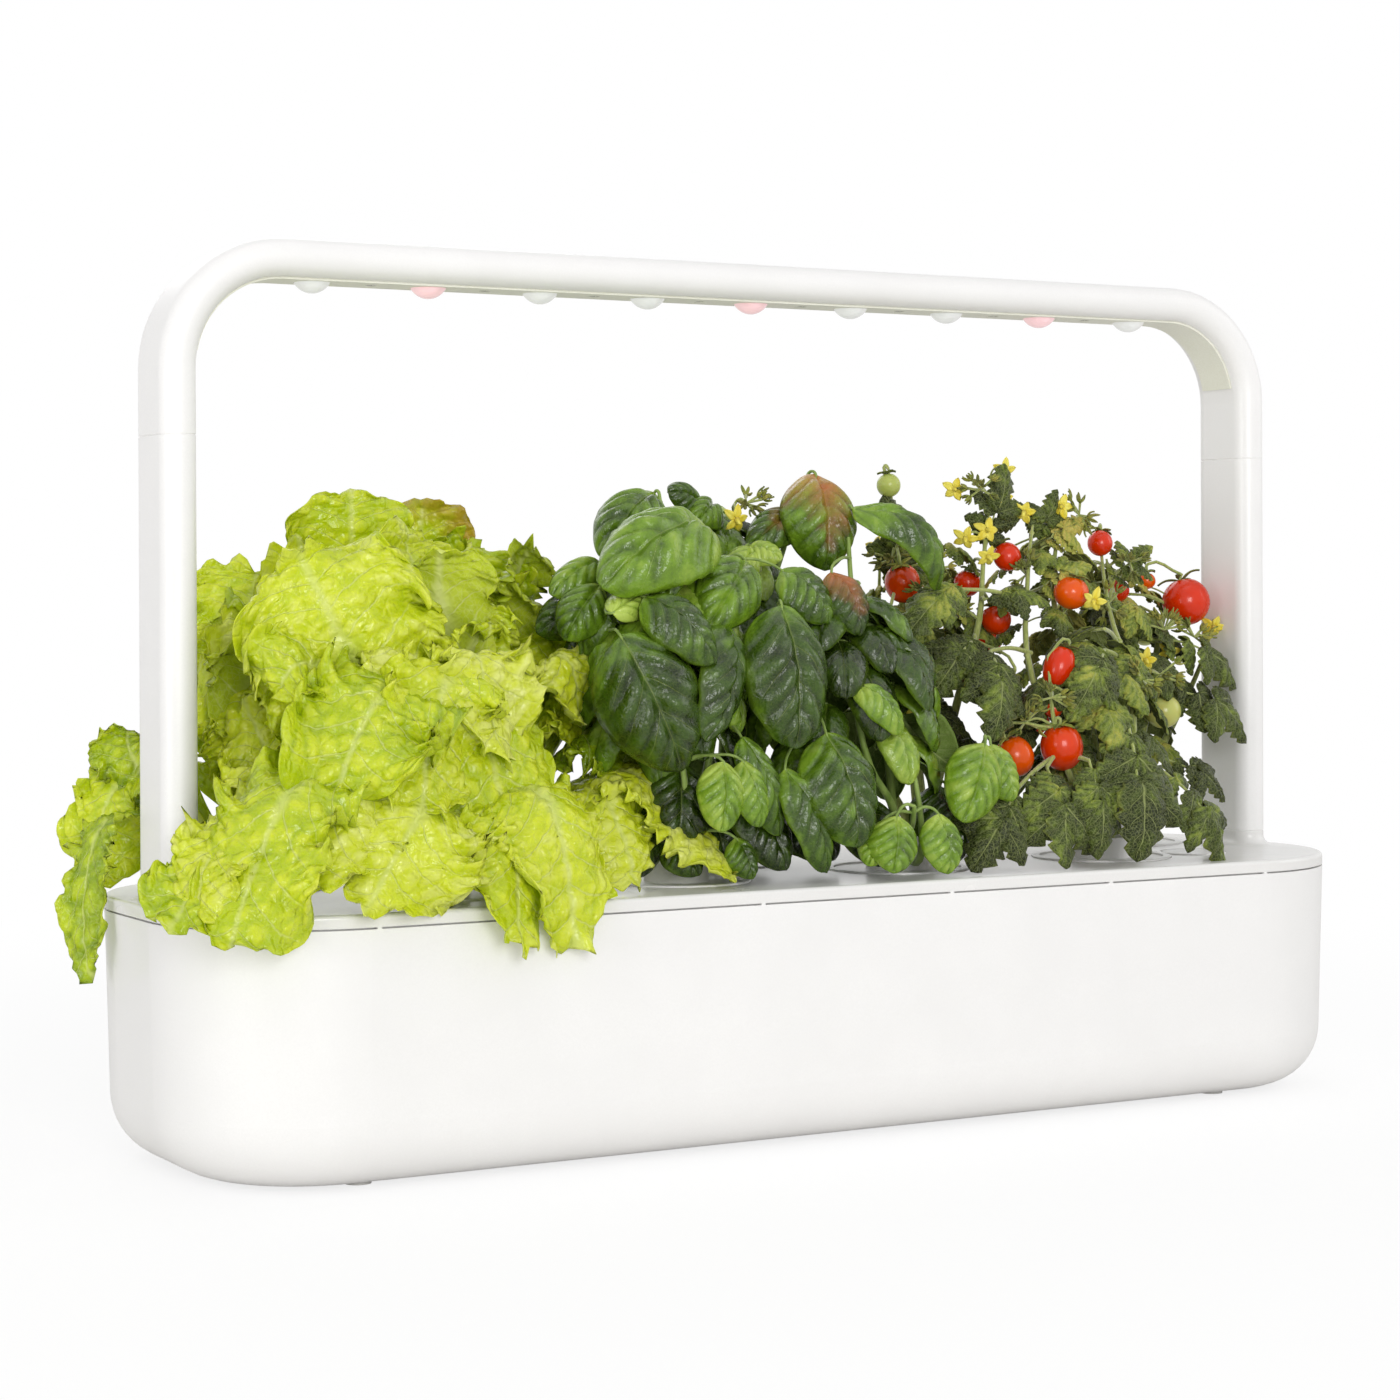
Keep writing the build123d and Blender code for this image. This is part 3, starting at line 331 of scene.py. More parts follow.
# Every blade carries its own map, across and along, and two vertex values: its tone and its creases.
def makeLeaf(name, plan):
    material, add, place = startMaterial(name)
    blade = add("SeparateXYZ", {0: add("UVMap", uv_map="leaf")}).outputs
    tone = add("Attribute", attribute_name="tone").outputs["Fac"]
    crease = add("Attribute", attribute_name="crease").outputs["Fac"]
    cloud = add("TexNoise", {"Vector": place, "Scale": 1 / (14 * mm), "Detail": 5.0, "Roughness": 0.6})
    wander = add("TexNoise", {"Vector": place, "Scale": 1 / (9 * mm), "Detail": 2.0})
    shift = add("VectorMath", {0: wander.outputs["Color"], "Scale": 5 * mm}, operation="SCALE")
    warped = add("VectorMath", {0: place, 1: shift}, operation="ADD")

    # how far a point lies from the midrib, 0 to 1 at the margin; the midrib is broadest at the base
    half = add("Math", {0: blade[0], 1: 0.5}, operation="SUBTRACT")
    away = add("Math", {0: add("Math", {0: half}, operation="ABSOLUTE"), 1: 2.0}, operation="MULTIPLY")
    wide = add("MapRange", {"Value": blade[1], "From Max": 0.5, "To Min": plan["taper"], "To Max": 1.0})
    spine = add("Math", {0: away, 1: wide}, operation="DIVIDE")
    middle = add("MapRange", {"Value": spine, "From Min": plan["rib"], "From Max": 0.0},
                 interpolation_type="SMOOTHSTEP")

    # side veins run where count - sweep * away + wander is a whole number, and thin out towards the margin
    count = add("Math", {0: blade[1], 1: plan["pairs"]}, operation="MULTIPLY")
    swept = add("Math", {0: away, 1: -plan["sweep"], 2: count}, operation="MULTIPLY_ADD")
    strayed = add("Math", {0: wander, 1: plan["wander"], 2: swept}, operation="MULTIPLY_ADD")
    within = add("Math", {0: add("Math", {0: strayed}, operation="FRACT"), 1: 0.5}, operation="SUBTRACT")
    gap = add("Math", {0: within}, operation="ABSOLUTE")
    line = add("MapRange", {"Value": gap, "From Min": 0.5 - plan["thin"], "From Max": 0.5},
               interpolation_type="SMOOTHSTEP")
    thinning = add("MapRange", {"Value": away, "From Min": 1.0, "From Max": 0.4})
    side = add("Math", {0: line, 1: thinning}, operation="MULTIPLY")
    veins = add("Math", {0: side, 1: middle}, operation="MAXIMUM")

    # a fine net of veinlets with puckers between them, and larger blisters, in millimetres
    netted = {"Vector": warped, "Scale": 1 / (plan["cell"] * mm)}
    fine = add("TexVoronoi", netted, feature="DISTANCE_TO_EDGE").outputs["Distance"]
    blistered = {"Vector": warped, "Scale": 1 / (plan["blister"] * mm)}
    broad = add("TexVoronoi", blistered, feature="DISTANCE_TO_EDGE").outputs["Distance"]
    swollen = add("MapRange", {"Value": broad, "From Max": 0.3, "To Max": plan["swell"]},
                  interpolation_type="SMOOTHSTEP")
    net = add("MapRange", {"Value": fine, "From Min": 0.12, "From Max": 0.0, "To Max": plan["net"]})
    ribs = add("Math", {0: veins, 1: plan["veins"]}, operation="MULTIPLY")
    lines = add("Math", {0: net, 1: ribs}, operation="MAXIMUM")

    shade = add("Math", {0: tone, 1: blushed}, operation="MODULO")
    # the tone shifts towards the blade's base: up on basil and tomato, paler young tissue; down on lettuce,
    # painted shade where the blades crowd into the heart
    baseShift = add("MapRange", {"Value": blade[1], "From Min": 0.4, "From Max": 0.0, "To Max": plan["baseShift"]})
    fresh = add("Math", {0: shade, 1: baseShift}, operation="ADD")
    # painted shade: the tone is darkened along the creases
    fresh = add("Math", {0: crease, 1: -plan["creaseShade"], 2: fresh}, operation="MULTIPLY_ADD")
    level = add("Math", {0: cloud, 1: 0.5}, operation="SUBTRACT")
    patch = add("Math", {0: level, 1: plan["patchy"], 2: fresh}, operation="MULTIPLY_ADD")
    body = add("ValToRGB", {"Fac": patch}, ramp=plan["ramp"])
    body = add("Mix", {0: lines, 6: body, 7: plan["vein"]}, data_type="RGBA")
    # a pale margin: on lettuce and basil a painted highlight of the thin, glossy edge; on tomato the older
    # leaves' yellowing
    ragged = add("Math", {0: cloud, 1: 0.3, 2: away}, operation="MULTIPLY_ADD")
    rim = add("MapRange", {"Value": ragged, "From Min": 1.0, "From Max": 1.25, "To Max": plan["rimShow"]})
    body = add("Mix", {0: rim, 6: body, 7: plan["rim"]}, data_type="RGBA")
    if "blush" in plan:
        first, last = plan["blushRun"]
        outward = add("Math", {0: away, 1: 0.3, 2: blade[1]}, operation="MULTIPLY_ADD")
        along = add("Math", {0: cloud, 1: 0.8, 2: outward}, operation="MULTIPLY_ADD")
        spread = add("MapRange", {"Value": along, "From Min": first + 0.4, "From Max": last + 0.4,
                                  "To Max": 0.85})
        marked = add("Math", {0: tone, 1: blushed - 0.2}, operation="GREATER_THAN")
        share = add("Math", {0: spread, 1: marked}, operation="MULTIPLY")
        body = add("Mix", {0: share, 6: body, 7: plan["blush"]}, data_type="RGBA")

    sunk = add("Math", {0: veins, 1: -0.6, 2: swollen}, operation="MULTIPLY_ADD")
    height = add("Math", {0: fine, 1: plan["pucker"], 2: sunk}, operation="MULTIPLY_ADD")
    shine = add("MapRange", {"Value": cloud, "From Min": 0.3, "From Max": 0.7,
                             "To Min": plan["rough"][0], "To Max": plan["rough"][1]})
    face = add("BsdfPrincipled", {
        "Base Color": body,
        "Roughness": shine,
        "Normal": add("Bump", {"Height": height, "Strength": plan["bump"], "Distance": 0.6 * mm}),
        "IOR": 1.42,
        "Specular IOR Level": plan["gloss"],
        "Sheen Weight": plan.get("hair", 0.0),
        "Sheen Roughness": 0.4,
    })
    glow = add("Mix", {0: 0.5, 6: body, 7: plan["glow"]}, data_type="RGBA")
    through = add("BsdfTranslucent", {"Color": glow})
    surface = add("MixShader", {"Fac": plan["through"], 1: face, 2: through})
    add("OutputMaterial", {"Surface": surface})
    return material


# Stems and petals: streaked along their height, the streak's size in millimetres.
skinPlans = {
    # basil stalk: pale green, slightly glossy
    "basilStem": dict(ramp=((0.0, "#6E8838"), (1.0, "#9CB35E")), rough=0.42, bump=0.25, streak=5, hair=0.1),
    # tomato stalk: grey-green under a pale down
    "tomatoStem": dict(ramp=((0.0, "#8A9A48"), (1.0, "#B8BE70")), rough=0.6, bump=0.5, streak=1, hair=0.6),
    # thin waxy petals and anthers
    "petalYellow": dict(ramp=((0.0, "#E8D024"), (1.0, "#F6EC6E")), rough=0.5, bump=0.3, streak=3, hair=0.1),
}


def makeSkin(name, ramp, rough, bump, streak, hair):
    material, add, place = startMaterial(name)
    drawn = add("Mapping", {"Vector": place, "Scale": (1.0, 1.0, 0.2)})
    grain = add("TexNoise", {"Vector": drawn, "Scale": 1 / (streak * mm), "Detail": 4.0})
    spread = add("MapRange", {"Value": grain, "From Min": 0.3, "From Max": 0.7})
    add("OutputMaterial", {"Surface": add("BsdfPrincipled", {
        "Base Color": add("ValToRGB", {"Fac": spread}, ramp=ramp),
        "Roughness": rough,
        "Normal": add("Bump", {"Height": grain, "Strength": bump, "Distance": 0.3 * mm}),
        "IOR": 1.42,
        "Sheen Weight": hair,
    })})
    return material


# Tomato skin: thin, tight and waxy with a sharp highlight; its tone runs from green over orange to red.
fruitRipeness = ((0.0, "#A2B24C"), (0.2, "#C4CC70"), (0.5, "#EA8A10"), (0.72, "#EC5A00"), (1.0, "#DE3000"))


def makeFruitSkin():
    material, add, place = startMaterial("tomatoSkin")
    tone = add("Attribute", attribute_name="tone").outputs["Fac"]
    cloud = add("TexNoise", {"Vector": place, "Scale": 1 / (7 * mm), "Detail": 3.0})
    speck = add("TexNoise", {"Vector": place, "Scale": 1 / (0.8 * mm), "Detail": 2.0})
    shifted = add("Math", {0: cloud, 1: 0.12, 2: tone}, operation="MULTIPLY_ADD")
    add("OutputMaterial", {"Surface": add("BsdfPrincipled", {
        "Base Color": add("ValToRGB", {"Fac": shifted}, ramp=fruitRipeness),
        "Roughness": add("MapRange", {"Value": cloud, "To Min": 0.14, "To Max": 0.26}),
        "Normal": add("Bump", {"Height": speck, "Strength": 0.05, "Distance": 0.2 * mm}),
        "IOR": 1.45,
        "Subsurface Weight": 0.05,
        "Subsurface Radius": (0.004, 0.0012, 0.0006),
    })})
    return material


green = {name: makeLeaf(name, plan) for name, plan in leafPlans.items()}
green.update({name: makeSkin(name, **plan) for name, plan in skinPlans.items()})
green["tomatoSkin"] = makeFruitSkin()
print("leaf, stem and fruit finishes made")

wells = {
    "step": 60,      # from one pod to the next, along
    "row": 33,       # odd pods stand so far behind the middle, even ones in front of it
    "collar": 127,   # the collars end at this height, and stems leave them
}


def placeOf(pod):
    row = wells["row"] if pod % 2 else -wells["row"]
    return Vector(((pod - 5) * wells["step"] * mm, row * mm, wells["collar"] * mm))


podKind = {pod: ("lettuce", "basil", "tomato")[(pod - 1) // 3] for pod in range(1, 10)}


def smooth(low, high, value):
    value = min(1, max(0, (value - low) / (high - low)))
    return value * value * (3 - 2 * value)


def ripple(x, y, z):
    return noise.noise(Vector((x, y, z)))


def point(place):
    return Vector(place) * mm


def startPiece():
    bm = bmesh.new()
    bm.loops.layers.uv.new("leaf")
    bm.verts.layers.float.new("tone")
    bm.verts.layers.float.new("crease")
    return bm


def hangOn(name, pod, mesh, replaces):
    mesh.shade_smooth()
    piece = bpy.data.objects.new(name, mesh)
    scene.collection.objects.link(piece)
    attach(piece, f"{podKind[pod]}_pod_{pod}")
    if replaces:
        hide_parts(f"{podKind[pod]}_{pod}")
    return piece


def endPiece(bm, name, pod, materials, thick=0.0, replaces=True):
    mesh = bpy.data.meshes.new(name)
    bm.to_mesh(mesh)
    bm.free()
    for material in materials:
        mesh.materials.append(green[material])
    piece = hangOn(name, pod, mesh, replaces)
    if thick:
        wall = piece.modifiers.new("thickness", "SOLIDIFY")
        wall.thickness, wall.offset = thick, 0
        wall.material_offset = 1 if len(materials) > 1 else 0   # the underside has a finish of its own
    return piece


# A place on the curve that leaves base towards pull and reaches tip.
def bend(base, pull, tip, s):
    return base * (1 - s) ** 2 + pull * (2 * s * (1 - s)) + tip * s ** 2


# A blade is a flat grid laid along a curve from base over knee to tip; facing is where its upper side looks.
# shape turns t across (-1 to 1) and v along (0 to 1) into a width, a share along, a lift and a crease.
def addBlade(bm, base, knee, tip, facing, grid, shape, tone):
    verts = bmesh.ops.create_grid(bm, x_segments=grid[0], y_segments=grid[1], size=1, calc_uvs=True)["verts"]
    toneLayer, creaseLayer = bm.verts.layers.float["tone"], bm.verts.layers.float["crease"]
    length = (knee - base).length + (tip - knee).length
    pull = knee * 2 - (base + tip) / 2
    across = (tip - knee).cross(facing).normalized()
    for vert in verts:
        wide, s, lift, vert[creaseLayer] = shape(vert.co.x, min(1, (vert.co.y + 1) / 2), length)
        along = ((pull - base) * (1 - s) + (tip - pull) * s).normalized()
        side = (across - along * across.dot(along)).normalized()
        vert.co = bend(base, pull, tip, s) + side * wide + side.cross(along) * lift
        vert[toneLayer] = tone


def kneeOf(base, tip, facing, arch):
    chord = tip - base
    out = (facing - chord * (facing.dot(chord) / chord.length_squared)).normalized()
    return (base + tip) / 2 + out * arch * chord.length


# Stems are splines of one curve, made into one mesh: a run is its places and its radius in mm at either end.
def addStems(pod, runs, material):
    name = f"{podKind[pod]}_{pod}_stems"
    curve = bpy.data.curves.new(name, "CURVE")
    curve.dimensions, curve.resolution_u = "3D", 4
    curve.bevel_depth, curve.bevel_resolution, curve.use_fill_caps = mm, 1, True
    for places, first, last in runs:
        spline = curve.splines.new("BEZIER")
        spline.bezier_points.add(len(places) - 1)
        for i, (knot, place) in enumerate(zip(spline.bezier_points, places)):
            knot.co = place
            knot.handle_left_type = knot.handle_right_type = "AUTO"
            knot.radius = first + (last - first) * i / max(1, len(places) - 1)
    holder = bpy.data.objects.new(name, curve)
    scene.collection.objects.link(holder)
    bpy.context.view_layer.update()
    mesh = bpy.data.meshes.new_from_object(holder)
    bpy.data.objects.remove(holder)
    mesh.materials.clear()
    mesh.materials.append(green[material])
    hangOn(name, pod, mesh, replaces=True)


# The way out from a stalk of its leaf number n: each stands a golden angle on from the last.
def spiral(number, pod):
    turn = number * 2.4 + pod
    return Vector((math.cos(turn), math.sin(turn), 0))


# A place on a dome of these half sizes: up is the sine of its height, depth how near it lies to the face.
def onDome(centre, radii, out, up, depth):
    edge = out * math.sqrt(1 - up * up) + Vector((0, 0, up))
    return point(centre) + Vector([part * radius for part, radius in zip(edge, radii)]) * mm * depth


# A unit step out from an axis, turned about it.
def spoke(axis, turn):
    first = axis.orthogonal().normalized()
    return first * math.cos(turn) + axis.cross(first) * math.sin(turn)


def midway(start, end, lift):
    return (start + end) / 2 + Vector((0, 0, lift * mm))


def alongRun(places, share):
    span = share * (len(places) - 1)
    first = min(int(span), len(places) - 2)
    return places[first].lerp(places[first + 1], span - first)


def branchesOf(plant, pod):
    return [[point(place) for place in row] for row in plant["branches"][pod]]


# Where on the branches a stalk to a place starts: near it, and hardly further below it than reach.
def nearestJoint(branches, place, reach):
    spots = [alongRun(run, i / 16) for run in branches for i in range(2, 17)]
    return min(spots, key=lambda spot: (spot - place).length + 0.8 * max(0, place.z - spot.z - reach))


lettuce = {
    "thick": 0.45 * mm,
    "outerCell": 1.55 * mm,   # size of the mesh's faces
    "heartCell": 2.4 * mm,
    "blister": 8 * mm,
    "rib": 2.3 * mm,          # half the midrib's width
    "waves": (28 * mm, 35 * mm),   # broad swells of the blade, across and along
    # of each pod's outer leaves: knee, tip, width, frill, facing, tone
    "outer": {1: [
        # pod 1's leaves lie in the shadow of pod 2's big front leaf: the first ones' tones are set high,
        # painted light that offsets it
        ((-228, 4, 198), (-218, 24, 266), 54, 9, (-.6, -1, .3), .8),
        ((-237, 12, 188), (-236, 34, 249), 50, 10, (-.7, -1, .3), .9),
        ((-245, 4, 176), (-246, 32, 213), 50, 8, (-.5, -1, .6), .65),
        ((-246, -8, 160), (-252, 6, 196), 40, 7, (-.4, -1, .6), .7),
        ((-252, -12, 170), (-254, -30, 160), 42, 6, (-.3, -.8, 1), .75),
        ((-290, 48, 166), (-303, 50, 120), 37, 6, (-.7, -.6, .7), .6),
        ((-303, 34, 152), (-317, 22, 84), 20, 3, (-1, -.5, .4), .3),
        ((-281, 46, 165), (-291, 48, 189), 32, 5, (-.6, -1, .3), .35),
    ], 2: [
        ((-196, 2, 225), (-201, 8, 293), 56, 6, (-.3, -1, .1), .62),
        ((-222, -52, 205), (-248, -42, 266), 88, 11, (-.5, -1, .25), .72),
        ((-254, -74, 172), (-300, -99, 99), 50, 9, (-.3, -.8, 1), .55),
        ((-272, -62, 158), (-306, -84, 118), 32, 6, (-.6, -.8, 1), .75),
        ((-262, -60, 150), (-318, -84, 116), 40, 6, (-.5, -.6, 1), .45),
        ((-226, -76, 168), (-270, -90, 127), 48, 5, (-.2, -1, .7), .8),
        ((-206, -86, 160), (-240, -94, 116), 60, 9, (-.2, -1, .7), .8),
        ((-214, -72, 206), (-250, -84, 160), 62, 10, (-.3, -1, .6), .5),
        ((-192, -74, 212), (-214, -88, 150), 50, 9, (0, -1, .5), .7),
        ((-180, -70, 222), (-176, -80, 178), 42, 8, (.2, -1, .5), .9),
        ((-232, -50, 210), (-262, -52, 206), 42, 8, (-.4, -1, .6), .6),
        ((-182, -34, 200), (-186, -36, 244), 38, 4, (0, -1, .1), .5),
        ((-182, -66, 208), (-170, -84, 140), 66, 7, (.1, -1, .6), .55),
        ((-200, -62, 214), (-206, -72, 186), 46, 4, (0, -1, .4), .95),
        ((-196, -82, 158), (-216, -92, 119), 52, 6, (0, -1, .8), .95),
        ((-160, -84, 162), (-147, -99, 100), 58, 6, (.2, -1, .9), .7),
        ((-174, -86, 158), (-176, -100, 102), 40, 6, (.1, -1, .9), .6),
    ], 3: [
        ((-150, 38, 220), (-152, 40, 290), 50, 6, (-.2, -1, .1), 2.6),
        ((-134, 22, 215), (-134, 30, 274), 64, 8, (0, -1, .15), .45),
        ((-112, 20, 200), (-106, 30, 248), 54, 8, (.3, -1, .2), .5),
        ((-108, 2, 195), (-99, 0, 236), 36, 6, (.2, -1, .3), .55),
        ((-112, -12, 200), (-97, -14, 180), 46, 5, (.3, -1, .6), .6),
        ((-124, -30, 214), (-112, -34, 188), 40, 7, (.2, -1, .6), .8),
        ((-104, -18, 182), (-79, -34, 166), 50, 6, (.3, -1, .8), .15),
        ((-112, -48, 160), (-106, -70, 119), 54, 5, (.2, -.8, 1), .75),
        ((-88, -42, 152), (-47, -64, 121), 44, 4, (.2, -.6, 1), .9),
        ((-100, -40, 168), (-72, -56, 140), 46, 4, (.2, -.6, 1), .8),
    ]},
    "heart": 12,   # more leaves in each head, all round: the inner ones stand, the outer ones lie over
    "heartWidth": (44, 60),
    "heartFrill": (3, 5),
    "heartTone": (0.35, 0.8),
    "reach": (18, 52),
    "rise": {1: 127, 2: 140, 3: 140},   # of each pod's tallest heart leaf
    "lower": 62,      # how much less the outermost rises
    "droop": 30,      # how far its tip hangs
    "front": -70,     # these three keep the heads clear of the arm and inside the garden
    "back": 72,
    "leastX": -240,
}


# Narrow rib, then a broad rounded blade: blistered, quilted along its side veins, frilled towards the margin.
def lettuceShape(width, seed, frill, cup, crimps):
    veins = veining["lettuce"]
    waveAcross, waveAlong = lettuce["waves"]

    def shape(t, v, length):
        quilt = abs(math.sin(math.pi * (veins["pairs"] * v - veins["sweep"] * abs(t)))) ** 0.7
        t *= 1.35 - 0.35 * t * t   # most columns lie by the margins
        s = 1 - (1 - v ** 0.6) ** 1.25   # and most rows in the blade
        opened = smooth(0.04, 0.5, s)
        half = width / 2 * (0.1 + 0.9 * opened)
        x, y = t * half, s * length
        margin = 1 - (1 - abs(t) ** 2.4 * opened) * (1 - s ** 16)
        turn = math.atan2(x, y - 0.72 * length)   # folds fan out from the heart of the blade
        folds = math.sin(turn * 6 + 3 * ripple(turn * 1.3, 0, seed) + seed)
        phase = turn * 18 + 5 * ripple(turn * 2.5, 1, seed) + seed
        near, following = noise.voronoi(Vector((x, y, seed)) / lettuce["blister"])[0][:2]
        crease = 1 - smooth(0.02, 0.4, following - near)
        rib = math.exp(-(x / lettuce["rib"]) ** 2) * (1 - 0.8 * s)
        crimp = turn * 44 + 6 * ripple(turn * 5, 2, seed)
        curl = 0.9 * margin ** 1.5 * folds + 0.7 * margin ** 3 * math.sin(phase)
        lift = frill * (curl + 0.25 * crimps * margin ** 6 * math.sin(crimp))
        blown = 2.5 * quilt * (0.5 + 0.5 * margin) + (1.1 + 1.1 * margin) * (1 - crease)
        lift += opened * mm * (1 - rib) * blown
        wave = ripple(x / waveAcross, y / waveAlong, seed + 5)
        lift += 6 * mm * wave * opened - cup * half * t * t - 1.6 * mm * rib
        notch = 1.6 * math.cos(phase) + 0.7 * crimps * math.cos(crimp)
        push = margin ** 3 * mm * ((4 + 4 * crimps) * ripple(turn * 1.6, 3, seed) + notch)
        fall = half * (1 - math.sqrt(1 - 0.96 * t * t)) * smooth(0.4, 1, s)
        s = max(0, s + (push * math.cos(turn) * opened - fall) / length)
        return x + push * math.sin(turn), s, lift, crease * opened
    return shape


def lettuceGrid(width, length, cell):
    return max(8, round(width / cell)), max(16, round(0.66 * length / cell))


def makeLettuce(pod, rng):
    outer, inner = startPiece(), startPiece()
    heart = placeOf(pod) - Vector((0, 0, 2 * mm))
    for number, (knee, tip, width, frill, facing, tone) in enumerate(lettuce["outer"][pod]):
        start = heart + Vector((rng.uniform(-6, 6), rng.uniform(-6, 6), 0)) * mm
        knee, tip = point(knee), point(tip)
        grid = lettuceGrid(width * mm, (knee - start).length + (tip - knee).length, lettuce["outerCell"])
        shape = lettuceShape(width * mm, pod * 40 + number * 3.7, frill * mm, 0.25, 1)
        addBlade(outer, start, knee, tip, Vector(facing), grid, shape, tone)
    for number in range(lettuce["heart"]):
        out = spiral(number, pod)
        share = number / lettuce["heart"]
        first, last = lettuce["reach"]
        reach = (first + (last - first) * share) * mm
        rise = (lettuce["rise"][pod] - lettuce["lower"] * share + rng.uniform(-8, 8)) * mm
        knee = heart + out * reach * 0.5 + Vector((0, 0, rise * 0.75))
        tip = heart + out * reach + Vector((0, 0, rise - lettuce["droop"] * share * mm))
        for place in (knee, tip):
            place.x = max(place.x, lettuce["leastX"] * mm)
            place.y = min(max(place.y, lettuce["front"] * mm), lettuce["back"] * mm)
        facing = (out * (1.2 * share - 0.4) + Vector((0, 0, 1))).normalized()
        width = rng.uniform(*lettuce["heartWidth"]) * mm
        grid = lettuceGrid(width, (knee - heart).length + (tip - knee).length, lettuce["heartCell"])
        frill = rng.uniform(*lettuce["heartFrill"]) * mm
        shape = lettuceShape(width, pod * 17 + number * 5.3, frill, 0.2, 0)
        addBlade(inner, heart, knee, tip, facing, grid, shape, rng.uniform(*lettuce["heartTone"]))
    sides = ("lettuceLeaf", "lettuceUnder")
    endPiece(inner, f"lettuce_{pod}_heart_leaves", pod, sides, lettuce["thick"])
    return endPiece(outer, f"lettuce_{pod}_outer_leaves", pod, sides, lettuce["thick"])


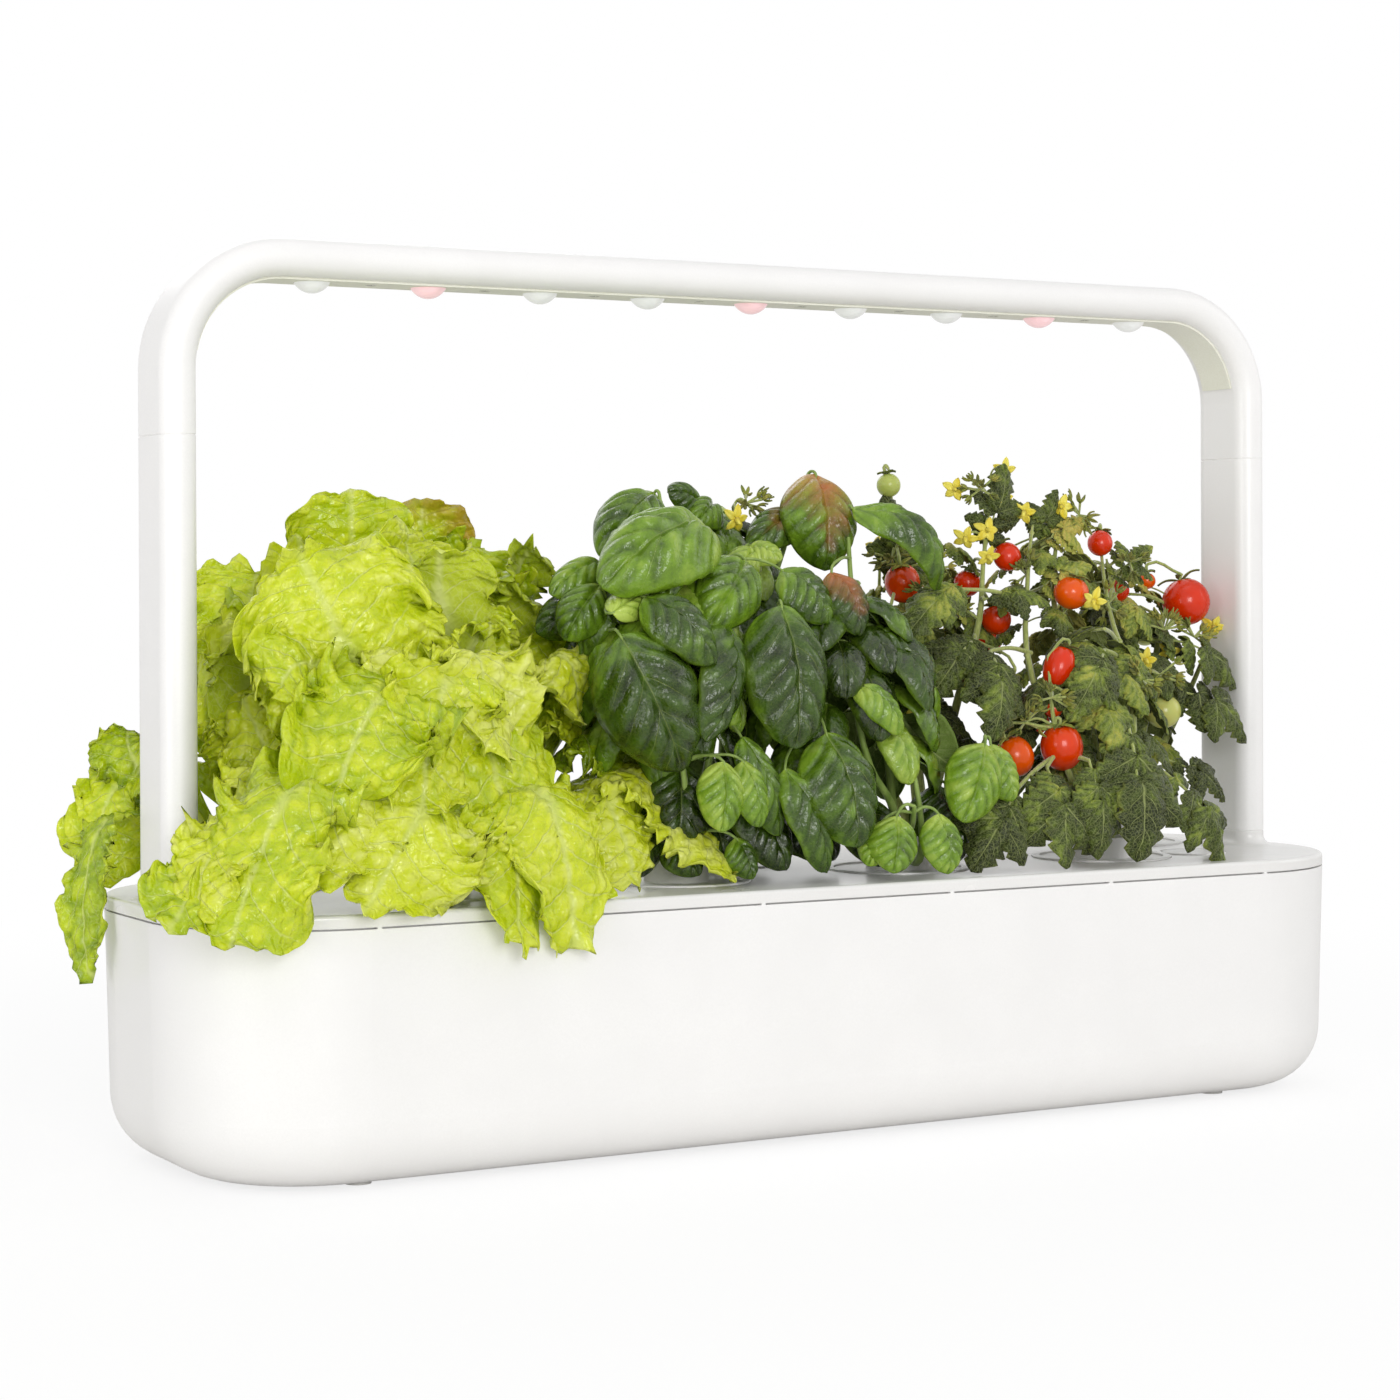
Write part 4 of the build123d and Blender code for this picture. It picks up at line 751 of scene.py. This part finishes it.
basil = {
    "thick": 0.5 * mm,
    "grid": (30, 50),   # faces across and along a front leaf, and one of the others
    "fillGrid": (14, 22),
    "wave": 11 * mm,    # size of a blade's swells, and of its margin's
    "edgeWave": 9 * mm,
    # of each pod's front leaves: base, tip, width, arch, facing, tone
    "leaves": {4: [
        ((-57, -8, 294), (-91, -22, 263), 32, .22, (-.6, -1, .7), .45),
        ((-44, -38, 275), (-111, -58, 250), 46, .25, (-.1, -.8, .9), .55),
        ((-86, -15, 260), (-119, -25, 247), 21, .2, (-.5, -.8, .8), .6),
        ((-92, -20, 245), (-124, -20, 230), 24, .2, (-.5, -1, .6), .3),
        ((-100, -35, 251), (-120, -40, 227), 24, .2, (-.5, -1, .5), .5),
        ((-108, -62, 239), (-82, -50, 249), 17, .1, (-.2, -1, .7), .75),
        ((-107, -68, 229), (-81, -76, 170), 48, .16, (-.3, -1, .15), .2),
        ((-92, -62, 246), (-66, -80, 217), 30, .2, (.1, -1, .6), .3),
        ((-50, -62, 236), (-70, -78, 182), 30, .16, (.6, -1, .1), .25),
        ((-30, -45, 262), (-62, -66, 233), 32, .2, (-.1, -1, .5), .5),
        ((-14, -50, 258), (4, -62, 234), 30, .2, (.3, -1, .6), .4),
        ((-61, -78, 173), (-66, -84, 143), 23, .15, (-.1, -1, .4), .66),
        ((-50, -76, 173), (-45, -82, 144), 20, .15, (.2, -1, .4), .6),
        ((-70, -55, 172), (-78, -64, 132), 36, .12, (-.2, -1, .2), .15),
        ((-47, -70, 183), (-29, -72, 139), 22, .15, (.3, -1, .3), .35),
        ((-48, -66, 138), (-43, -72, 120), 18, .15, (.2, -1, .4), .4),
        ((-79, -60, 140), (-69, -70, 123), 21, .15, (0, -1, .4), .2),
        ((-86, -44, 160), (-96, -60, 122), 30, .15, (-.2, -1, .3), .1),
        ((-52, -44, 152), (-50, -62, 122), 26, .15, (0, -1, .3), .12),
        ((-38, -50, 160), (-24, -70, 123), 30, .15, (.2, -1, .3), .1),
    ], 5: [
        ((27, -14, 304), (22, -30, 258), 40, .2, (-.1, -1, .4), 2.45),
        ((24, -5, 285), (-10, -15, 269), 22, .2, (-.4, -1, .6), 2.35),
        ((-15, -20, 268), (-4, -34, 263), 18, .2, (.1, -1, .6), .85),
        ((-12, -20, 267), (-28, -34, 256), 17, .2, (-.2, -1, .6), .8),
        ((-12, 16, 289), (-30, 0, 281), 21, .2, (-.2, -1, .6), .5),
        ((-20, 15, 289), (-41, 8, 295), 19, .2, (-.2, -1, .6), .3),
        ((-10, -6, 158), (-6, -36, 123), 36, .12, (0, -1, .3), .08),
        ((14, 0, 156), (22, -34, 122), 38, .12, (.1, -1, .3), .1),
        ((4, 20, 172), (0, 2, 123), 46, .1, (0, -1, .2), .05),
    ], 6: [
        ((-26, -70, 242), (-27, -84, 178), 44, .14, (0, -1, .2), .22),
        ((-27, -74, 169), (-9, -80, 122), 24, .15, (.2, -1, .5), .3),
        ((-4, -72, 184), (4, -86, 133), 42, .16, (.1, -1, .25), .32),
        ((36, -32, 287), (80, -40, 249), 27, .3, (.3, -.9, .8), .4),
        ((13, -50, 257), (21, -62, 228), 26, .2, (.2, -1, .4), 2.2),
        ((24, -48, 226), (54, -56, 219), 22, .25, (.1, -.8, 1), .3),
        ((26, -84, 146), (20, -90, 121), 26, .16, (-.1, -1, .5), .62),
        ((49, -84, 146), (50, -90, 119), 24, .16, (.2, -1, .5), .6),
        ((21, -78, 142), (12, -82, 124), 16, .16, (-.3, -1, .5), .7),
        ((82, -74, 177), (62, -84, 142), 29, .16, (-.1, -1, .4), .6),
        ((88, -70, 176), (94, -78, 150), 25, .16, (.3, -1, .4), .58),
        ((97, -66, 154), (83, -72, 137), 21, .12, (.1, -1, .5), .55),
        ((14, -68, 206), (33, -78, 183), 20, .2, (.2, -.9, .7), .6),
        ((51, -50, 190), (75, -58, 165), 28, .1, (.1, 1, -.5), .5),
        ((34, -48, 152), (26, -68, 122), 32, .15, (-.1, -1, .3), .12),
        ((72, -50, 156), (66, -70, 122), 36, .15, (.1, -1, .3), .12),
    ]},
    # the places of each branch
    "branches": {4: [
        ((-60, -33, 125), (-62, -30, 190), (-56, -22, 250), (-56, -12, 290)),
        ((-62, -35, 125), (-86, -34, 170), (-98, -32, 220), (-92, -20, 252)),
        ((-58, -35, 125), (-52, -46, 165), (-44, -48, 215), (-36, -38, 262)),
        ((-60, -37, 125), (-68, -56, 140), (-72, -62, 165), (-78, -60, 195)),
    ], 5: [
        ((0, 33, 125), (2, 26, 190), (14, 6, 250), (26, -6, 300)),
        ((-3, 35, 125), (-22, 40, 180), (-34, 40, 230), (-26, 24, 282)),
        ((3, 35, 125), (18, 48, 180), (24, 56, 225), (16, 58, 262)),
        ((0, 31, 125), (-6, 16, 190), (-12, -4, 235), (-12, -18, 266)),
    ], 6: [
        ((60, -33, 125), (48, -40, 180), (32, -42, 230), (34, -30, 284)),
        ((62, -35, 125), (74, -46, 150), (82, -62, 165), (86, -68, 178)),
        ((57, -36, 125), (20, -52, 165), (-10, -58, 205), (-22, -60, 240)),
        ((60, -38, 125), (46, -62, 134), (40, -76, 142), (37, -82, 150)),
        ((60, -36, 125), (40, -58, 150), (26, -62, 168), (17, -62, 205), (24, -50, 230)),
        ((60, -37, 125), (52, -64, 124), (48, -71, 142), (42, -71, 174)),
    ]},
    # centre and half sizes of the dome that a pod's other leaves shingle, and how many
    "domes": {
        4: ((-68, -32, 200), (46, 42, 76), 44),
        5: ((-6, 24, 212), (46, 50, 74), 44),
        6: ((26, -44, 182), (54, 34, 62), 38),
    },
    "sizes": (26, 44),           # a leaf's length at the dome's ends and at its middle
    "domeTone": (0.0, 0.75),
    "drawnDown": (0.58, 0.42),   # how far the edges of front leaves and dome leaves hang
    "reachY": 86,                # a leaf that would pass these is left out
    "lowest": 124,
    "branchRadii": (2.3, 1.1),   # at its foot and its tip
    "stalkRadii": (0.9, 0.55),
    "thinRadii": (0.8, 0.5),     # of the dome's stalks
}


# Oval and pointed, its edges drawn down, quilted between pairs of side veins.
def basilShape(width, seed, dome):
    veins = veining["basil"]

    def shape(t, s, length):
        s -= 0.07 * math.sin(math.tau * s)   # rows lie closer together at both blunt ends
        q = s ** 0.84
        half = width / 2 * max(0.015, (4 * q * (1 - q)) ** 0.44)
        a = abs(t)
        quilt = abs(math.sin(math.pi * (veins["pairs"] * s - veins["sweep"] * a))) ** 0.6
        body = smooth(0, 0.25, a) * (1 - a ** 5) * smooth(0, 0.25, s) * (1 - s ** 8)
        wave = ripple(t * half / basil["wave"], s * length / basil["wave"], seed)
        lift = width * (0.085 * quilt * body + 0.045 * wave)
        lift -= dome * half * a ** 2.4 + 0.9 * mm * math.exp(-(t / 0.05) ** 2)
        lift += 0.06 * width * a ** 4 * ripple(t, s * length / basil["edgeWave"], seed + 5)
        return t * half, s, lift, 1 - quilt
    return shape


def makeBasil(pod, rng):
    bm = startPiece()
    branches = branchesOf(basil, pod)
    runs = [(places, *basil["branchRadii"]) for places in branches]
    frontDrop, domeDrop = basil["drawnDown"]
    for base, tip, width, arch, facing, tone in basil["leaves"][pod]:
        base, tip, facing = point(base), point(tip), Vector(facing)
        shape = basilShape(width * mm, base.x * 900 + base.z * 300, frontDrop)
        addBlade(bm, base, kneeOf(base, tip, facing, arch), tip, facing, basil["grid"], shape, tone)
        joint = nearestJoint(branches, base, 0)
        ahead = base + (tip - base).normalized() * 3 * mm
        runs.append(([joint, midway(joint, base, 3), base, ahead], *basil["stalkRadii"]))
    centre, radii, leaves = basil["domes"][pod]
    small, large = basil["sizes"]
    for number in range(leaves):
        up = 0.95 - 1.6 * (number + 0.5) / leaves
        out = spiral(number, pod)
        tip = onDome(centre, radii, out, up, rng.uniform(0.84, 1))
        size = (large - (large - small) * abs(up)) * rng.uniform(0.85, 1.15) * mm
        base = tip - (out * (0.5 + 0.4 * max(0, up)) + Vector((0, 0, 0.4 * max(0, up) - 0.85))) * size
        if abs(tip.y) >= basil["reachY"] * mm or tip.z < basil["lowest"] * mm:
            continue
        facing = out + Vector((0, 0, 0.35 + 0.5 * max(0, up)))
        shape = basilShape(size * rng.uniform(0.6, 0.72), rng.uniform(0, 90), domeDrop)
        knee = kneeOf(base, tip, facing, 0.2)
        addBlade(bm, base, knee, tip, facing, basil["fillGrid"], shape, rng.uniform(*basil["domeTone"]))
        joint = nearestJoint(branches, base, 0)
        runs.append(([joint, base, base.lerp(tip, 0.1)], *basil["thinRadii"]))
    addStems(pod, runs, "basilStem")
    return endPiece(bm, f"basil_{pod}_leaves", pod, ("basilLeaf", "basilUnder"), basil["thick"])


tomato = {
    "thick": 0.4 * mm,
    "grid": (14, 28),     # faces across and along a front leaflet, one of the others, a narrow blade, a bud's
    "fillGrid": (10, 18),
    "narrowGrid": (4, 8),
    "budGrid": (2, 6),
    "waves": ((0.1, 10 * mm, 3), (0.035, 3.5 * mm, 9)),   # depth as a share of the width, size, noise step
    # of each pod's front compound leaves: base, tip, spread, arch, facing, tone
    "leaves": {7: [
        ((121, -10, 224), (80, -30, 196), 44, .25, (-.4, -1, .6), .25),
        ((124, -14, 244), (150, -30, 241), 34, .2, (.1, -.8, 1), .25),
        ((134, 0, 268), (141, -6, 308), 36, .1, (-.1, -1, .2), .15),
        ((100, 20, 249), (82, 10, 292), 36, .1, (-.2, -1, .2), .25),
        ((101, 0, 224), (68, -10, 234), 40, .25, (-.3, -1, .8), .5),
    ], 8: [
        ((174, -62, 184), (159, -88, 124), 66, .12, (-.1, -1, .3), .25),
        ((191, -66, 161), (217, -80, 114), 52, .2, (.3, -1, .5), .3),
        ((126, -62, 164), (118, -86, 121), 62, .15, (0, -1, .4), .22),
        ((105, -66, 154), (70, -82, 121), 50, .15, (-.3, -1, .4), .15),
        ((177, -40, 219), (142, -58, 186), 46, .25, (-.3, -1, .5), .4),
        ((194, -30, 223), (191, -50, 187), 44, .2, (.1, -1, .5), .45),
        ((116, -30, 219), (94, -62, 179), 48, .2, (-.1, -1, .5), .25),
        ((162, 0, 273), (172, -8, 297), 30, .15, (.2, -1, .3), .2),
        ((168, 0, 271), (190, -10, 283), 34, .25, (.2, -1, .7), .85),
        ((160, -10, 248), (180, -25, 260), 30, .25, (.1, -1, .8), .75),
        ((105, -20, 249), (60, -40, 225), 38, .25, (-.3, -1, .8), .45),
        ((145, -70, 167), (139, -84, 124), 46, .15, (.1, -1, .5), .3),
    ], 9: [
        ((238, -10, 197), (272, -30, 171), 52, .25, (.4, -1, .6), .2),
        ((237, 0, 223), (280, -14, 198), 44, .25, (.4, -1, .7), .3),
        ((211, 0, 253), (230, -10, 270), 32, .25, (.2, -1, .8), .5),
        ((207, -5, 243), (221, -20, 223), 34, .25, (.2, -1, .6), .7),
        ((224, -30, 163), (247, -44, 143), 34, .2, (.3, -1, .5), .1),
    ]},
    # centre, half width, half height, tone
    "fruit": {7: [
        ((84, -2, 252), 8.7, 9.8, .85), ((144, -5, 265), 6.9, 7.3, 1.0), ((134, 15, 252), 6.8, 6.8, .95),
        ((138, -4, 234), 7.4, 7.6, .9), ((69, -10, 232), 6.2, 5.4, .7), ((84, 10, 300), 5.9, 5.9, .05),
        ((126, -30, 200), 5.8, 7.8, .95), ((112, 62, 216), 8.2, 8.4, .7), ((132, 66, 180), 9.0, 9.6, .92),
    ], 8: [
        ((205, 0, 272), 6.4, 6.6, 1.0), ((169, -24, 247), 8.8, 8.2, .68), ((146, -45, 211), 7.6, 10.8, .95),
        ((139, -50, 191), 4.2, 4.6, .85), ((140, -55, 173), 10.3, 11.6, .88),
        ((116, -50, 169), 9.1, 10.0, .7), ((168, 46, 224), 8.0, 8.4, .9), ((192, 40, 182), 8.8, 9.0, .95),
    ], 9: [
        ((224, 10, 248), 5.8, 6.0, 1.0), ((246, 15, 253), 4.9, 4.4, .65), ((264, 5, 242), 12.3, 12.2, .95),
        ((229, -20, 187), 9.1, 8.6, .16), ((236, 58, 206), 9.4, 9.4, .9), ((268, 44, 226), 7.0, 7.4, .12),
    ]},
    # centres
    "flowers": {7: [
        (-14, -10, 282), (119, -5, 274), (130, -8, 278), (129, -10, 265), (146, 0, 308), (115, -2, 298),
        (54, -60, 196), (140, -5, 294), (66, 0, 230), (104, 52, 270),
    ], 8: [
        (152, -8, 287), (175, -8, 290), (173, -37, 243), (178, 48, 268),
    ], 9: [
        (278, 0, 229), (245, -5, 217), (218, -20, 213), (232, 50, 262),
    ]},
    # centres of the trusses still in bud
    "buds": {7: [
        (-2, 2, 290), (106, 4, 259), (108, -6, 238), (82, 4, 264), (126, -8, 298), (92, -14, 246),
    ], 8: [
        (152, -10, 256), (198, -14, 240), (122, -50, 185), (132, -58, 197), (194, -48, 204), (186, -8, 286),
        (172, -36, 206),
    ], 9: [
        (262, -4, 224), (238, -10, 228), (216, -34, 206), (216, -10, 262),
    ]},
    # the places of each branch
    "branches": {7: [
        ((120, 33, 125), (122, 6, 195), (125, -8, 234), (129, -6, 263), (137, -2, 300)),
        ((117, 33, 125), (104, 24, 190), (98, 20, 240), (84, 10, 308)),
        ((122, 36, 125), (122, 52, 180), (112, 60, 230), (106, 52, 268)),
        ((118, 30, 125), (92, 0, 190), (74, -30, 205), (56, -56, 200)),
        ((116, 34, 125), (76, 52, 200), (24, 46, 262), (-8, 4, 288)),
    ], 8: [
        ((180, -33, 125), (158, -40, 170), (141, -30, 205), (150, -14, 255), (160, -5, 284)),
        ((182, -33, 125), (178, -28, 180), (166, -18, 225), (172, -6, 262), (178, -6, 290)),
        ((183, -35, 125), (186, -48, 160), (190, -44, 200), (198, -16, 240), (211, 9, 280)),
        ((178, -36, 125), (150, -54, 150), (136, -56, 180), (140, -44, 216)),
    ], 9: [
        ((240, 33, 125), (228, 0, 173), (222, -8, 203), (213, 0, 248), (209, 0, 264)),
        ((242, 33, 125), (250, 18, 190), (252, 8, 235), (262, 6, 256)),
        ((241, 36, 125), (246, 52, 180), (238, 56, 225), (232, 50, 262)),
        ((243, 31, 125), (262, 20, 170), (272, 6, 205), (279, 2, 228)),
    ]},
    # centre and half sizes of each bush of inner leaves, how many, their least and greatest length
    "bushes": {7: [
        ((112, 26, 184), (50, 52, 56), 17, (36, 54)),
        ((112, 24, 240), (36, 30, 34), 11, (20, 32)),
    ], 8: [
        ((172, -30, 170), (52, 44, 48), 18, (36, 54)),
        ((170, -2, 232), (40, 28, 38), 14, (20, 32)),
    ], 9: [
        ((232, 18, 184), (40, 52, 56), 16, (36, 54)),
        ((234, 30, 232), (34, 28, 28), 11, (20, 32)),
    ]},
    "youngSize": 30,                      # a bush whose least length is below this is young and paler
    "paler": 0.35,
    "reachX": 272,                        # nothing grows past here, into the arm
    "lowest": 126,
    "branchRadii": (2.7, 0.6),            # at its foot and its tip
    "reach": 8 * mm,                      # a stalk starts hardly further than this below its leaf
    "hang": 12 * mm,                      # and a fruit's about this far above its middle
    "stalkRadii": (1.3, 1.0),
    "endLeaflet": (0.48, 0.6),            # where on the stalk it starts, and its share of the leaf's length
    "pairs": ((0.12, 0.6), (0.3, 0.85), (0.48, 0.95)),   # of leaflets: where, and share of half the spread
    "ball": (28, 18),                     # a fruit's faces around and up
    "sepal": 2.6,                         # widths
    "budSepal": 1.5,
    "petal": 3.6,
    "petalThick": 0.25 * mm,
    "anthers": (1.3, 0.4, 5),             # the cone's two radii and its length
}


# Leaflet: lobed and toothed, its face wrinkled, its edges rolled under.
def tomatoShape(width, seed, teeth, roll):
    sweep = veining["tomato"]["sweep"]

    def shape(t, s, length):
        q = s ** 0.8
        oval = (4 * q * (1 - q)) ** 0.6
        tooth = (s * teeth + 0.35 * ripple(s * 2.5, (t > 0) * 3, seed)) % 1
        notch = 0.4 * tooth ** 1.5 * smooth(0.08, 0.25, s) * (1 - smooth(0.9, 1, s))
        half = width / 2 * max(0.015, oval * (1.15 - notch))
        a = abs(t)
        quilt = abs(math.sin(math.pi * (teeth * s - sweep * a)))
        lift = width * 0.05 * quilt * smooth(0.03, 0.3, a) * (1 - a ** 3) - roll * half * a ** 2
        for depth, size, step in tomato["waves"]:
            lift += depth * width * ripple(t * half / size, s * length / size, seed + step)
        lift -= 0.6 * mm * math.exp(-(t / 0.06) ** 2)
        return t * half, max(0, s - notch * a ** 3 * 0.1), lift, 1 - quilt
    return shape


# A compound leaf: an end leaflet and three pairs along the stalk.
def addCompound(bm, runs, base, tip, spread, arch, facing, tone, grid, rng):
    facing = facing.normalized()
    knee = kneeOf(base, tip, facing, arch)
    length = (tip - base).length
    pull = knee * 2 - (base + tip) / 2
    across = (tip - knee).cross(facing).normalized()
    behind = facing * -2.5 * mm   # the stalk runs behind its leaflets
    stalk = [base] + [bend(base, pull, tip, s) + behind for s in (0.3, 0.55)]
    runs.append((stalk, length / (60 * mm), length / (110 * mm)))
    teeth = veining["tomato"]["pairs"]
    place, share = tomato["endLeaflet"]
    leaflets = [(place, 0, share * length)]
    for place, share in tomato["pairs"]:
        leaflets += [(place, sign, spread * 0.5 * share) for sign in (1, -1)]
    for place, sign, size in leaflets:
        start = bend(base, pull, tip, place)
        along = (tip - start).normalized()
        ahead = (across * sign + along * rng.uniform(0.45, 0.85)).normalized() if sign else along
        droop = facing * -rng.uniform(0.05, 0.35) - Vector((0, 0, rng.uniform(0, 0.3)))
        end = start + (ahead + droop * abs(sign)).normalized() * size
        look = facing + across * sign * rng.uniform(-0.1, 0.5)
        look += Vector([rng.uniform(-0.2, 0.2) for _ in range(3)])
        shape = tomatoShape(size * rng.uniform(0.55, 0.68), rng.uniform(0, 90), teeth, rng.uniform(0.2, 0.6))
        knee = kneeOf(start, end, look, rng.uniform(0.05, 0.16))
        addBlade(bm, start, knee, end, look, grid, shape, tone + rng.uniform(-0.08, 0.12))


# A fruit with its dimple and five low ridges, its star of sepals and its stalk.
def addFruit(bm, sepals, runs, centre, wide, tall, tone, joint, rng):
    toneLayer = bm.verts.layers.float["tone"]
    around, high = tomato["ball"]
    ball = bmesh.ops.create_uvsphere(bm, u_segments=around, v_segments=high, radius=1)["verts"]
    lean = Matrix.Rotation(rng.uniform(-0.5, 0.5), 3, "X") @ Matrix.Rotation(rng.uniform(-0.5, 0.5), 3, "Y")
    for vert in ball:
        top = max(0.0, vert.co.z)
        ridge = wide * (1 + 0.02 * math.cos(5 * math.atan2(vert.co.y, vert.co.x)) * top)
        dimple = 0.16 * math.exp(-(vert.co.xy.length / 0.28) ** 2) * (vert.co.z > 0)
        vert[toneLayer] = tone - 0.1 * top ** 6
        vert.co = centre + lean @ Vector((vert.co.x * ridge, vert.co.y * ridge, (vert.co.z - dimple) * tall))
    crown = centre + lean @ Vector((0, 0, 0.84 * tall))
    upward = lean @ Vector((0, 0, 1))
    for step in range(5):
        turn = step * math.tau / 5 + rng.uniform(-0.2, 0.2)
        out = lean @ Vector((math.cos(turn), math.sin(turn), 0))
        start = crown + upward * 0.8 * mm
        end = start + out * wide * rng.uniform(0.75, 1.05) + upward * rng.uniform(-0.05, 0.25) * wide
        shape = tomatoShape(tomato["sepal"] * mm, step, 0.5, 0.2)
        knee = kneeOf(start, end, upward, 0.16)
        addBlade(sepals, start, knee, end, upward, tomato["narrowGrid"], shape, rng.uniform(0.45, 0.7))
    runs.append(([crown - upward * 0.5 * mm, crown + upward * 5 * mm, joint], 0.9, 0.8))


# A star flower: five bent-back petals round a cone of anthers.
def addFlower(bm, runs, centre, joint, rng):
    look = Vector((-0.45 + rng.uniform(-0.4, 0.4), -1, rng.uniform(-0.7, 0.3))).normalized()
    for step in range(5):
        out = spoke(look, step * math.tau / 5 + rng.uniform(-0.12, 0.12))
        end = centre + out * rng.uniform(5.5, 7.5) * mm - look * rng.uniform(0, 2.5) * mm
        shape = tomatoShape(tomato["petal"] * mm, step, 0.5, 0.1)
        knee = kneeOf(centre, end, look, 0.12)
        addBlade(bm, centre + out * 0.8 * mm, knee, end, look, tomato["narrowGrid"], shape, 0.8)
    turn = look.to_track_quat("Z", "Y").to_matrix().to_4x4()
    wide, narrow, depth = (size * mm for size in tomato["anthers"])
    cone = bmesh.ops.create_cone(bm, cap_ends=True, segments=8, radius1=wide, radius2=narrow, depth=depth)
    bmesh.ops.transform(bm, matrix=Matrix.Translation(centre + look * 2.6 * mm) @ turn, verts=cone["verts"])
    runs.append(([joint, midway(joint, centre, 4), centre - look * 3 * mm, centre], 0.7, 0.45))


# A truss still in bud: thin stalks, each ending in a few narrow sepals.
def addBuds(bm, runs, centre, joint, rng):
    runs.append(([joint, joint.lerp(centre, 0.6) + Vector((0, 0, 3 * mm)), centre], 0.8, 0.55))
    for number in range(7):
        out = Vector((rng.uniform(-1, 1), rng.uniform(-1, 0.3), rng.uniform(-0.6, 1))).normalized()
        bud = centre + out * rng.uniform(4, 10) * mm
        runs.append(([centre, bud], 0.45, 0.7))
        for step in range(5):
            aside = spoke(out, step * math.tau / 5 + number)
            end = bud + (out + aside * rng.uniform(0.3, 0.9)) * rng.uniform(3.5, 5.5) * mm
            shape = tomatoShape(tomato["budSepal"] * mm, step, 0.5, 0.2)
            knee = kneeOf(bud, end, aside, 0.15)
            addBlade(bm, bud, knee, end, aside, tomato["budGrid"], shape, rng.uniform(0.65, 0.9))


def makeTomato(pod, rng):
    bm, inner, fruit, petals = startPiece(), startPiece(), startPiece(), startPiece()
    branches = branchesOf(tomato, pod)
    sides = ("tomatoLeaf", "tomatoUnder")
    runs = [(places, *tomato["branchRadii"]) for places in branches]
    for base, tip, spread, arch, facing, tone in tomato["leaves"][pod]:
        base, tip = point(base), point(tip)
        joint = nearestJoint(branches, base, tomato["reach"])
        runs.append(([joint, midway(joint, base, 2), base], *tomato["stalkRadii"]))
        addCompound(bm, runs, base, tip, spread * mm, arch, Vector(facing), tone, tomato["grid"], rng)
    for centre, radii, leaves, sizes in tomato["bushes"][pod]:
        for number in range(leaves):
            up = 0.85 - 1.6 * (number + 0.5) / leaves
            out = spiral(number, pod)
            tip = onDome(centre, radii, out, up, rng.uniform(0.85, 1))
            tip.x = min(tip.x, tomato["reachX"] * mm)
            tip.z = max(tip.z, tomato["lowest"] * mm)
            size = rng.uniform(*sizes) * mm
            base = tip - (out * 0.75 + Vector((0, 0, 0.25 * max(0, up) - 0.65))) * size
            joint = nearestJoint(branches, base, tomato["reach"])
            runs.append(([joint, midway(joint, base, 2), base], size / (45 * mm), size / (55 * mm)))
            facing = out * 0.8 + Vector((0, 0, 0.7))
            tone = rng.uniform(0.05, 0.6) + tomato["paler"] * (sizes[0] < tomato["youngSize"])
            spread = size * rng.uniform(0.8, 1)
            addCompound(inner, runs, base, tip, spread, 0.2, facing, tone, tomato["fillGrid"], rng)
    for centre, wide, tall, tone in tomato["fruit"][pod]:
        centre = point(centre)
        joint = nearestJoint(branches, centre + Vector((0, 0, tomato["hang"])), tomato["reach"])
        addFruit(fruit, bm, runs, centre, wide * mm, tall * mm, tone, joint, rng)
    for centre in tomato["flowers"][pod]:
        centre = point(centre)
        addFlower(petals, runs, centre, nearestJoint(branches, centre, tomato["reach"]), rng)
    for centre in tomato["buds"][pod]:
        centre = point(centre)
        addBuds(bm, runs, centre, nearestJoint(branches, centre, tomato["reach"]), rng)
    addStems(pod, runs, "tomatoStem")
    endPiece(inner, f"tomato_{pod}_inner_leaves", pod, sides, tomato["thick"])
    endPiece(fruit, f"tomato_{pod}_fruit", pod, ("tomatoSkin",), replaces=False)
    endPiece(petals, f"tomato_{pod}_flowers", pod, ("petalYellow",), tomato["petalThick"], replaces=False)
    return endPiece(bm, f"tomato_{pod}_leaves", pod, sides, tomato["thick"])


growers = {"lettuce": makeLettuce, "basil": makeBasil, "tomato": makeTomato}
for pod, kind in podKind.items():
    piece = growers[kind](pod, random.Random(pod * 11))
    print(kind, pod, "grown,", len(piece.data.polygons), "faces a side")
